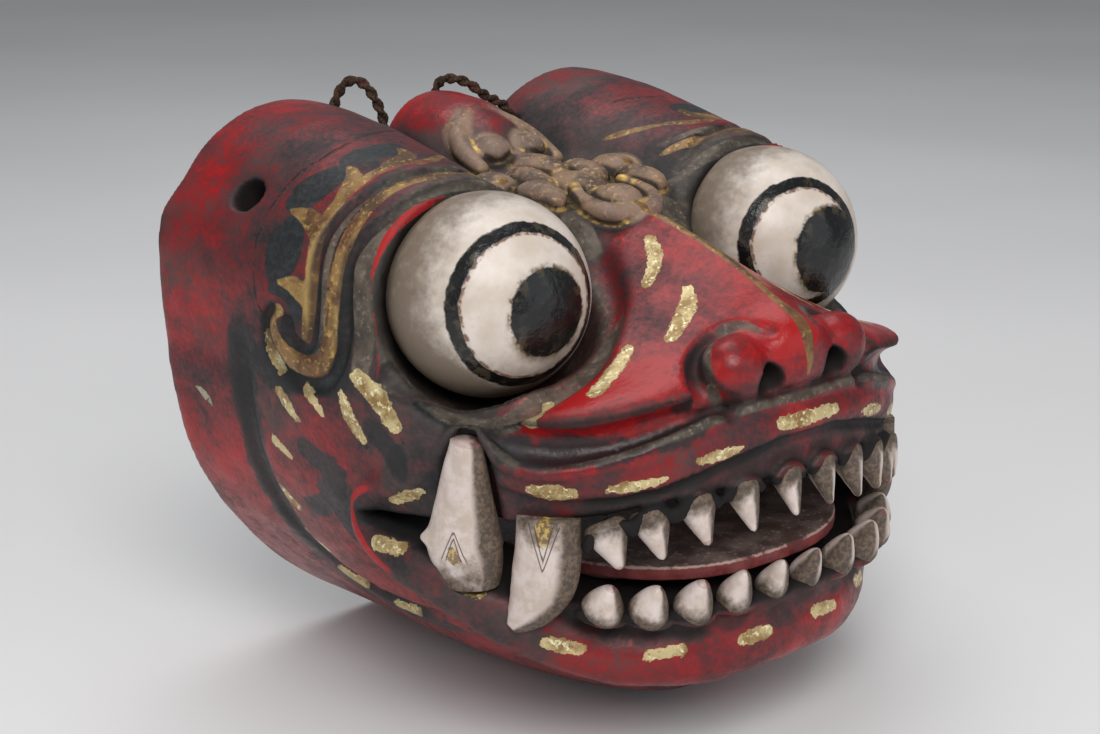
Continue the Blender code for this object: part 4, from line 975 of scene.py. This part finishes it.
def eye_paint(name, pupil, pupil_size, ring, ring_size, ring_width):
    """White ball darkened at its rim and underside as painted shade with some soiling, a glossy pupil and a
    dark ring round an axis of its own.
    """
    p = Paint(name)
    outward = p.node("VectorMath", {0: p.place}, operation="NORMALIZE").outputs["Vector"]

    def polar(axis):
        """Angle from the axis in degrees, seen from the ball's middle."""
        turned = p.node("VectorMath", {0: outward, 1: axis}, operation="DOT_PRODUCT").outputs["Value"]
        return p.times(p.math("ARCCOSINE", p.math("MINIMUM", turned, 0.99999)), math.degrees(1))

    wobble = p.noise(120, 3, 0.6)
    fine = p.noise(500, 3, 0.6)
    lump = p.noise(260, 3, 0.65)
    shake = p.swing(wobble, 3.5)
    rag = p.swing(fine, 2.5)
    a = p.plus(p.plus(polar(pupil), shake), rag)
    b = p.plus(p.plus(polar(ring), shake), rag)
    dark = p.spread(a, pupil_size + 0.7, pupil_size - 0.7)
    ring_in = ring_size - ring_width
    band = p.times(p.spread(b, ring_size + 0.6, ring_size - 0.6), p.spread(b, ring_in - 0.6, ring_in + 0.6))
    inner = p.times(p.spread(b, ring_in + 0.6, ring_in - 0.4), p.spread(b, ring_in - 2.2, ring_in - 0.8))
    ball = p.mix(p.spread(wobble, 0.3, 0.7), "cbbeb0", "ddd2c9")
    ball = p.mix(p.spread(fine, 0.62, 0.8, 0.0, 0.5), ball, "b3a08a")
    # painted shade: the ball darkens toward its rim in the socket, on its underside and below the pupil, with
    # lumps of soiling
    under = p.times(p.node("SeparateXYZ", {0: outward}).outputs["Z"], -1.0)
    back = polar((0.0, -1.0, 0.12))
    grime_and_shade = p.plus(p.spread(back, 40, 92, 0.0, 1.15), p.spread(under, 0.0, 0.9, 0.0, 0.85))
    grime_and_shade = p.plus(grime_and_shade, p.swing(lump, 0.9))
    halo = p.spread(a, pupil_size + 9, pupil_size, 0.0, 0.55)
    grime_and_shade = p.plus(grime_and_shade, p.times(halo, p.spread(under, -0.4, 0.6, 0.3, 1.3)))
    grime_and_shade = p.spread(grime_and_shade, 0.25, 1.25)
    ball = p.mix(p.times(grime_and_shade, 0.85), ball, "64523e")
    ball = p.mix(p.times(inner, p.spread(fine, 0.4, 0.55, 0.2, 0.9)), ball, "6e3a20")
    smear = p.times(p.spread(a, pupil_size + 3.2, pupil_size + 0.4), p.spread(lump, 0.42, 0.56, 0.15, 0.9))
    ball = p.mix(smear, ball, p.mix(p.spread(fine, 0.4, 0.6), "3d2f1d", "8a744a"))
    ink = p.mix(p.spread(lump, 0.45, 0.7), "0e0f10", "212325")
    scuff = p.times(p.spread(a, pupil_size - 9, pupil_size - 1), p.spread(lump, 0.5, 0.62, 0, 0.55))
    ink = p.mix(scuff, ink, "4d422c")
    paint = p.most(dark, band)
    colour = p.mix(paint, ball, ink)
    rough = p.blend(paint, p.spread(grime_and_shade, 0.0, 1.0, 0.34, 0.6), 0.24)
    height = p.plus(p.times(lump, p.spread(paint, 0, 1, 0.12, 0.9)), p.times(paint, 0.5))
    height = p.plus(height, p.times(fine, p.spread(paint, 0, 1, 0.10, 0.35)))
    return p.finish(colour, rough, p.bump(height, 0.6, 0.0006))


def ivory_paint(name, stain):
    """Ivory lacquer with painted shade in brown on its shadow side, and stained brown for this share of its
    length from the root.
    """
    p = Paint(name)
    along = p.attribute("along")
    shadow = p.attribute("shadow")
    middle = p.noise(210, 4, 0.6)
    fine = p.noise(800, 3, 0.6)
    base = p.mix(p.spread(middle, 0.35, 0.65), "c3b2a6", "d8cac4")
    jitter = p.swing(middle, 0.8)
    root = p.spread(p.plus(along, p.times(jitter, 0.7)), stain + 0.14, stain - 0.18)
    # brown at the root is stain; brown on the shadow side is painted shade
    dirt_and_shade = p.most(root, p.spread(p.plus(shadow, jitter), 0.16, 0.72))
    brown = p.mix(p.spread(fine, 0.4, 0.65), "2f2318", "66513c")
    colour = p.mix(p.times(dirt_and_shade, 0.92), base, brown)
    speck = p.spread(fine, 0.69, 0.76, 0.0, 0.7)
    colour = p.mix(speck, colour, "7d6754")
    tip = p.spread(p.plus(along, p.times(jitter, 0.1)), 0.985, 1.0)
    colour = p.mix(p.times(tip, 0.35), colour, "8a4a4e")
    gilt = p.spread(p.plus(p.attribute("gilt"), p.swing(fine, 2.0)), 0.3, -0.3)
    colour = p.mix(p.times(gilt, 0.85), colour, p.mix(p.spread(fine, 0.45, 0.6), "6f5427", "c6a860"))
    # the V cut's lines darkened: painted shade in the cut
    cuts = [p.math("ABSOLUTE", p.attribute(name)) for name in ("cut_outer", "cut_inner")]
    line = p.most(*(p.spread(cut, 0.26, 0.08) for cut in cuts))
    colour = p.mix(p.times(line, 0.85), colour, "4c4038")
    rough = p.blend(dirt_and_shade, 0.36, 0.62)
    height = p.plus(p.times(middle, 0.4), p.times(fine, 0.25))
    height = p.minus(height, p.times(line, 0.6))
    return p.finish(colour, rough, p.bump(height, 0.5, 0.0005))


def tongue_paint():
    p = Paint("tongue_lacquer")
    middle = p.noise(130, 4, 0.6)
    fine = p.noise(700, 3, 0.6)
    top = p.mix(p.spread(middle, 0.35, 0.7), "584540", "82706a")
    top = p.mix(p.spread(fine, 0.6, 0.75, 0, 0.4), top, "9a8880")
    edge = p.mix(p.spread(middle, 0.3, 0.65), "642426", "8c4240")
    colour = p.mix(p.spread(p.attribute("edge"), 0.2, 0.8), top, edge)
    height = p.node("SeparateXYZ", {0: p.place}).outputs["Z"]
    below = p.minus((TONGUE_LEVEL + TONGUE_THICK / 2) * MM, height)
    below = p.plus(p.math("DIVIDE", below, MM), p.swing(fine, 0.9))
    chip = p.times(p.spread(below, 0.05, 0.2), p.spread(below, 0.9, 0.7))
    chip = p.times(chip, p.spread(middle, 0.38, 0.52))
    colour = p.mix(chip, colour, "b99a90")
    height = p.plus(p.times(middle, 0.5), p.times(fine, 0.3))
    return p.finish(colour, p.spread(middle, 0.3, 0.7, 0.42, 0.56), p.bump(height, 0.5, 0.0005))


def cord_paint():
    p = Paint("dark_hemp")
    fine = p.noise(1600, 3, 0.7)
    middle = p.noise(260, 3, 0.6)
    colour = p.mix(p.spread(fine, 0.35, 0.7), "1f1815", "5a4638")
    colour = p.mix(p.spread(middle, 0.5, 0.7, 0, 0.55), colour, "6b4034")
    return p.finish(colour, 0.9, p.bump(fine, 0.9, 0.0004), specular=0.2)


def floor_paint():
    p = Paint("pale_floor")
    colour = p.mix(p.spread(p.noise(3, 2, 0.5), 0.3, 0.7), "e6e6e7", "ebebec")
    return p.finish(colour, 0.7, specular=0.15)


# Pieces

def frame_of(direction):
    z = Vector(direction).normalized()
    x = Vector((0, 0, 1)).cross(z).normalized()
    return x, z.cross(x), z


def place_camera():
    azimuth, elevation = math.radians(CAMERA_AZIMUTH), math.radians(CAMERA_ELEVATION)
    level = math.cos(elevation)
    back = Vector((math.sin(azimuth) * level, -math.cos(azimuth) * level, math.sin(elevation)))
    x, y, z = frame_of(back)
    data = bpy.data.cameras.new("camera")
    data.lens = CAMERA_LENS
    data.sensor_width = 36
    data.clip_start = 0.01
    camera = linked("camera", data)
    at = Vector(CAMERA_TARGET) + back * CAMERA_DISTANCE
    camera.matrix_world = Matrix.Translation(at) @ Matrix((x, y, z)).transposed().to_4x4()
    scene.camera = camera


def rings_round(centre, radius, first, second, around):
    """Points of round rings along a line; first and second span the plane of each ring."""
    angle = np.linspace(0, 2 * math.pi, around, endpoint=False)[None, :, None]
    return centre[:, None] + radius[:, None, None] * (
        np.cos(angle) * first[:, None] + np.sin(angle) * second[:, None]
    )


def tube_faces(rings, around, joined=False, start=0):
    """Quads between rings of points; where joined, the last ring meets the first."""
    faces = []
    for i in range(rings if joined else rings - 1):
        here, there = start + i * around, start + (i + 1) % rings * around
        for k in range(around):
            m = (k + 1) % around
            faces.append([here + k, here + m, there + m, there + k])
    return faces


def twisted_cord(name, route, material):
    """A closed loop of two strands laid round each other along the route."""
    rows = np.asarray(route, float)
    line = smooth_row(np.vstack([rows[-1], rows, rows[0], rows[1]]), 8)[8:-8]
    line = line[:-1] if np.linalg.norm(line[0] - line[-1]) < 1e-6 else line
    steps = np.linalg.norm(np.roll(line, -1, 0) - line, axis=1)
    total = steps.sum()
    count = int(total / STRAND_STEP)
    at = np.concatenate([[0], np.cumsum(steps)])
    closed = np.vstack([line, line[:1]])
    want = np.linspace(0, total, count, endpoint=False)
    centre = np.stack([np.interp(want, at, closed[:, i]) for i in range(3)], 1)
    tangent = unit(np.roll(centre, -1, 0) - np.roll(centre, 1, 0))
    plane = np.linalg.svd(centre - centre.mean(0))[2][2]
    side = unit(plane - tangent * (tangent @ plane)[:, None])
    other = np.cross(tangent, side)
    turns = round(total / STRAND_TURN)
    points, faces = [], []
    for ply in range(2):
        twist = 2 * math.pi * turns * want / total + math.pi * ply
        middle = centre + STRAND_OFFSET * (np.cos(twist)[:, None] * side + np.sin(twist)[:, None] * other)
        uneven = STRAND * (1 + 0.07 * np.sin(want * 5.1 + ply * 2))
        points.append(rings_round(middle, uneven, side, other, STRAND_SIDES).reshape(-1, 3))
        faces += tube_faces(count, STRAND_SIDES, joined=True, start=ply * count * STRAND_SIDES)
    ob = make_object(name, to_world(np.vstack(points)), faces, material)
    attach(ob, "root")
    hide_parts(name.replace("twisted_", ""))


def make_carving(material):
    step = CARVING_STEP
    values, origin = sampled_field(step)
    points, quads = surface_net(values, origin, step)
    for _ in range(2):
        gradient = slope(values, origin, step, points, step * 0.6)
        size = np.maximum((gradient ** 2).sum(1), 0.2)
        off = np.clip(sample(values, origin, step, points), -0.5 * step, 0.5 * step)
        points = points - gradient * (off / size)[:, None]
    points[:, 1:] = np.maximum(points[:, 1:], 0)
    middles = points[quads].mean(1)
    half = [np.abs(middles[:, 0]).astype(np.float32)] + [middles[:, i].astype(np.float32) for i in (1, 2)]
    within = hollow_field(half, WALL) < 1.6
    within &= middles[:, 1] < HOLLOW_END
    outside = ("head_carving", quads[~within], CARVING_TRIANGLES)
    for name, faces, triangles in (outside, ("head_hollow", quads[within], HOLLOW_TRIANGLES)):
        used, index = np.unique(faces, return_inverse=True)
        ob = make_object(name, to_world(points[used]), index.reshape(-1, 4), material)
        thin_out(ob, triangles)
        dress_carving(ob, values, origin, step)
        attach(ob, "root")
        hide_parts("head")


def dress_carving(ob, values, origin, step):
    """Stores what the carving's paint goes by: hollows and openings for painted shade, ridges, painted shapes
    and wear.
    """
    q3 = to_layout(mesh_points(ob.data))
    gradient = slope(values, origin, step, q3, 1.2)
    normal = unit(gradient)
    q = [np.abs(q3[:, 0]), q3[:, 1], q3[:, 2]]
    q32 = [a.astype(np.float32) for a in q]
    # how deep a point sits in a hollow, which the paint darkens as painted shade
    near_by = 1 - sample(values, origin, step, q3 + normal * 2.4) / 2.4
    wide = 1 - sample(values, origin, step, q3 + normal * 6.0) / 6.0
    store(ob, "cavity", np.clip(0.9 * near_by + 0.6 * wide - 0.12, -0.4, 1.2))
    under = 1 + sample(values, origin, step, q3 - normal * 2.4) / 2.4
    store(ob, "ridge", np.clip(under, 0, 1))
    store(ob, "chip", shape_distance(q3.T, CHIP_SHAPES))
    hollow = np.clip(1 - hollow_field(q32, WALL) / 1.5, 0, 1)
    hollow = np.where(q[1] < HOLLOW_END, hollow, 0)
    store(ob, "hollow", np.maximum(hollow, np.clip(1.2 - q[1], 0, 1)))
    rows = np.array(TONE)
    apart = sum((q[i][:, None] - rows[None, :, i]) ** 2 for i in range(3))
    weight = np.exp(-apart / (2 * TONE_REACH ** 2)) + 1e-9 + 1e-5 / (1 + apart / 100)
    store(ob, "tone", (weight @ rows[:, 3]) / weight.sum(1))
    for name, shapes in (
        ("gold", GOLD_SHAPES), ("leaf", LEAF_SHAPES), ("black", BLACK_SHAPES), ("soot", SOOT_SHAPES),
        ("grey", GREY_SHAPES), ("red", RED_SHAPES), ("line", INCISED_LINES),
    ):
        store(ob, name, shape_distance(q, shapes))
    store(ob, "socket", np.sqrt(sum((q[i] - EYE[i]) ** 2 for i in range(3))) - EYE_RADIUS)
    mouth = np.where((q[1] > 84) & (q[1] < 172), mouth_field(q32), 20)
    teeth = np.full(len(q3), 20.0)
    for _, x, root, tip, width in TEETH:
        rows = np.array([(x,) + root + (width * 0.62,), (x,) + tip + (width * 0.5,)], float)
        teeth = np.minimum(teeth, roll(q, rows))
    # the mouth, nostrils and drilled holes, which the paint turns near black as painted shade
    dark = np.minimum(mouth - 0.6, shape_distance(q, [NOSTRIL]) - 0.4)
    for along, away, _ in bores(q):
        dark = np.minimum(dark, np.where(np.abs(along) < HOLE_SHADE, away, 20) - 0.1)
    store(ob, "dark", dark)
    store(ob, "gum", teeth)
    crest = shape_distance(q, [ARCH_LEAF, CUP_RIM], 1)
    for centre, radii in KNOBS:
        crest = np.minimum(crest, ellipsoid(q, centre, radii))
    store(ob, "crest", crest)


def make_eyes():
    for hand, side, *look in EYE_LOOKS:
        bm = bmesh.new()
        bmesh.ops.create_uvsphere(bm, u_segments=128, v_segments=64, radius=EYE_RADIUS * MM)
        bm.transform(Matrix.Rotation(math.radians(90), 4, "X"))
        mesh = mesh_of(f"eye_{hand}", bm, eye_paint(f"eye_paint_{hand}", *look))
        mesh.shade_smooth()
        ob = linked(f"eye_{hand}", mesh)
        ob.location = to_world([(EYE[0] * side,) + EYE[1:]])[0]
        bpy.context.view_layer.update()
        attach(ob, "root")
        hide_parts("head")


def lofted(rows, rings, around, facing=(0.0, 1.0, 0.2)):
    """A round form through (x, f, z, radius) rows: points, faces, shares of the way, outward directions."""
    line = smooth_row(rows, 24)
    steps = np.concatenate([[0], np.cumsum(np.linalg.norm(np.diff(line[:, :3], axis=0), axis=1))])
    share = np.linspace(0, 1, rings)
    at = share * steps[-1]
    centre = np.stack([np.interp(at, steps, line[:, i]) for i in range(4)], 1)
    tangent = unit(np.gradient(centre[:, :3], axis=0))
    out = np.asarray(facing, float)
    first = unit(out[None] - tangent * (tangent @ out)[:, None])
    points = rings_round(centre[:, :3], centre[:, 3], first, np.cross(tangent, first), around)
    faces = tube_faces(rings, around)
    ends = np.stack([centre[0, :3], centre[-1, :3]])
    root, tip = rings * around, rings * around + 1
    for k in range(around):
        m = (k + 1) % around
        faces.append([root, m, k])
        faces.append([tip, (rings - 1) * around + k, (rings - 1) * around + m])
    outward = unit((points - centre[:, None, :3]).reshape(-1, 3))
    outward = np.vstack([outward, -tangent[0], tangent[-1]])
    points = np.vstack([points.reshape(-1, 3), ends])
    return points, faces, np.concatenate([np.repeat(share, around), [0, 1]]), outward


def shaded_side(side):
    """The side of a tooth that is painted darker as shade: the one towards the middle of the mouth."""
    return np.array((-0.755 * side, 0.656, 0.0))


def make_teeth(material):
    for jaw in ("upper", "lower"):
        points, faces, along, shadow = [], [], [], []
        start = 0
        for number, (word, x, root, tip, width) in enumerate(TEETH):
            if word != jaw:
                continue
            for side in (-1, 1):
                foot, head = np.array((x * side,) + root, float), np.array((x * side,) + tip, float)
                steps = [tuple(foot + (head - foot) * a) + (width * b,) for a, b in TOOTH_PROFILE[jaw]]
                q, quads, share, outward = lofted(steps, 34, 28)
                q = q + 0.032 * mottled(q.T, 3.2, 31 + number)[:, None] * (q - q.mean(0))
                points.append(q)
                faces += [[v + start for v in face] for face in quads]
                start += len(q)
                wear = (number * 7 + (side > 0) * 3) % 5 / 4
                along.append((share * 0.9 + 0.1) * (0.92 + 0.16 * wear))
                # painted shade on the tooth's shaded side
                shadow.append(np.clip(1.3 * outward @ shaded_side(side) - 0.25, 0, 1))
        ob = make_object(f"teeth_{jaw}", to_world(np.vstack(points)), faces, material)
        store(ob, "along", np.concatenate(along))
        store(ob, "shadow", np.concatenate(shadow))
        for name in ("gilt", "cut_outer", "cut_inner"):
            store(ob, name, np.full(start, 9.0))
        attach(ob, "root")
        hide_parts("head")


def make_fangs(material):
    for word, rows in (("lower", LOWER_FANG), ("upper", UPPER_FANG)):
        for hand, side in (("left", 1), ("right", -1)):
            rows_side = np.array(rows, float)
            rows_side[:, 0] *= side
            facing = unit(np.array((FANG_FACES[0] * side, FANG_FACES[1], 0.0)))
            q, faces, along, outward = lofted(rows_side, 150, 96, facing)
            pivot = rows_side[2, :3]
            q = q - (1 - FANG_FLATNESS) * ((q - pivot) @ facing)[:, None] * facing
            q = q + 0.22 * mottled(q.T, 5.0, 41)[:, None] * facing
            if word == "lower":
                barb = -shaded_side(side)
                lift = np.clip((outward @ barb - 0.80) / 0.2, 0, 1) ** 2
                lift = lift * np.exp(-((q[:, 2] - BARB_LEVEL) / BARB_SIZE) ** 2)
                q = q + BARB_SIZE * lift[:, None] * barb
            ob = make_object(f"carved_fang_{word}_{hand}", to_world(q), faces, material)
            store(ob, "along", along)
            # painted shade on the fang's shaded side
            store(ob, "shadow", np.clip(1.7 * outward @ shaded_side(side), 0, 1))
            for name, values in zip(("cut_outer", "cut_inner", "gilt"), fang_marks(q, *FANG_MARKS[word])):
                store(ob, name, values)
            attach(ob, "root")
            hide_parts(f"fang_{word}_{hand}")


def fang_marks(q, middle, base, tip, half):
    """Signed distances to the two lines of the V cut near a fang's root, and to the gilt inside it."""
    along_face = q[:, 1] * FANG_FACES[0] - np.abs(q[:, 0]) * FANG_FACES[1]
    rise = (q[:, 2] - base) / (tip - base)
    beyond = 12 * np.maximum(0, rise - 1)
    open_end = 14 * np.maximum(0, -rise)
    off = np.abs(along_face - middle)
    outer = off - half * (1 - rise) + beyond
    inner = off - half * (0.62 - 0.80 * rise) + beyond
    gilt = np.maximum(inner, 2 * (rise - 0.45) * half) + open_end
    return outer + np.sign(outer) * open_end, inner + np.sign(inner) * open_end, gilt


def tongue_outline():
    """Half plan of the tongue board: a blunt front arc, then an ear that is let into the cheek."""
    half, back, front = 56.0, 84.0, 158.5
    ear_out, ear_from = 72.0, 88.0
    reach = front - back
    turns = [math.radians(a) for a in range(0, 71, 7)]
    arc = [(half * math.sin(a) ** 0.8, back + reach * math.cos(a) ** 0.8) for a in turns]
    ear_to = ear_from + TONGUE_EAR
    ear_root = half * (1 - ((ear_to - back) / reach) ** 2.5) ** 0.4
    row = [(x, f) for x, f in arc if f > ear_to + 2]
    return row + [(ear_root, ear_to), (ear_out, ear_to), (ear_out, ear_from), (half, ear_from), (half, back)]


def make_tongue(material):
    half = tongue_outline()
    fine = []
    for (x0, f0), (x1, f1) in zip(half[:-1], half[1:]):
        for t in np.linspace(0, 1, 6, endpoint=False):
            fine.append((x0 + (x1 - x0) * t, f0 + (f1 - f0) * t))
    fine.append(half[-1])
    outline = fine + [(-x, f) for x, f in reversed(fine) if x > 1e-6]
    thick = TONGUE_THICK / 2
    bm = bmesh.new()
    low = [bm.verts.new(Vector(to_world([(x, f, TONGUE_LEVEL - thick)])[0])) for x, f in outline]
    bottom = bm.faces.new(low)
    bmesh.ops.recalc_face_normals(bm, faces=bm.faces)
    made = bmesh.ops.extrude_face_region(bm, geom=[bottom])
    for vert in [v for v in made["geom"] if isinstance(v, bmesh.types.BMVert)]:
        vert.co.z += thick * 2 * MM
    bmesh.ops.recalc_face_normals(bm, faces=bm.faces)
    rim = []
    for edge in bm.edges:
        level = abs(edge.verts[0].co.z - edge.verts[1].co.z) < 1e-6
        if level and len(edge.link_faces) == 2 and edge.calc_face_angle(0) > 1.2:
            rim.append(edge)
    bmesh.ops.bevel(bm, geom=rim, offset=TONGUE_BEVEL * MM, segments=3, affect="EDGES", profile=0.5)
    bmesh.ops.triangulate(bm, faces=[f for f in bm.faces if len(f.verts) > 4])
    mesh = mesh_of("tongue_top", bm, material)
    mesh.shade_smooth()
    mesh.set_sharp_from_angle(angle=math.radians(35))
    ob = linked("lacquered_tongue_board", mesh)
    level = to_layout(mesh_points(mesh))[:, 2] - TONGUE_LEVEL
    store(ob, "edge", np.clip((thick - level) / 0.5, 0, 1))
    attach(ob, "root")
    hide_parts("tongue_board")


def make_stage():
    bm = bmesh.new()
    bmesh.ops.create_grid(bm, x_segments=40, y_segments=40, size=FLOOR_SIZE / 2)
    floor = linked("floor", mesh_of("floor", bm, floor_paint()))
    for name, at, size, power, colour in LAMPS:
        data = bpy.data.lights.new(name, "AREA")
        data.size = size
        data.energy = power
        data.color = colour
        lamp = linked(name, data)
        lamp.location = at
        lamp.rotation_euler = (Vector(at) - Vector((0, 0, 0.08))).to_track_quat("Z", "Y").to_euler()
    world = bpy.data.worlds.new("studio")
    world.use_nodes = True
    scene.world = world
    background = world.node_tree.nodes["Background"]
    background.inputs["Color"].default_value = SKY
    background.inputs["Strength"].default_value = SKY_STRENGTH
    scene.view_settings.view_transform = "Standard"


def main():
    place_camera()
    fibre = cord_paint()
    twisted_cord("twisted_cord_loop_left", CORD_LEFT, fibre)
    twisted_cord("twisted_cord_loop_right", CORD_RIGHT, fibre)
    make_stage()
    make_carving(carving_paint())
    make_eyes()
    make_teeth(ivory_paint("tooth_ivory", 0.47))
    make_fangs(ivory_paint("fang_ivory", 0.14))
    make_tongue(tongue_paint())


main()
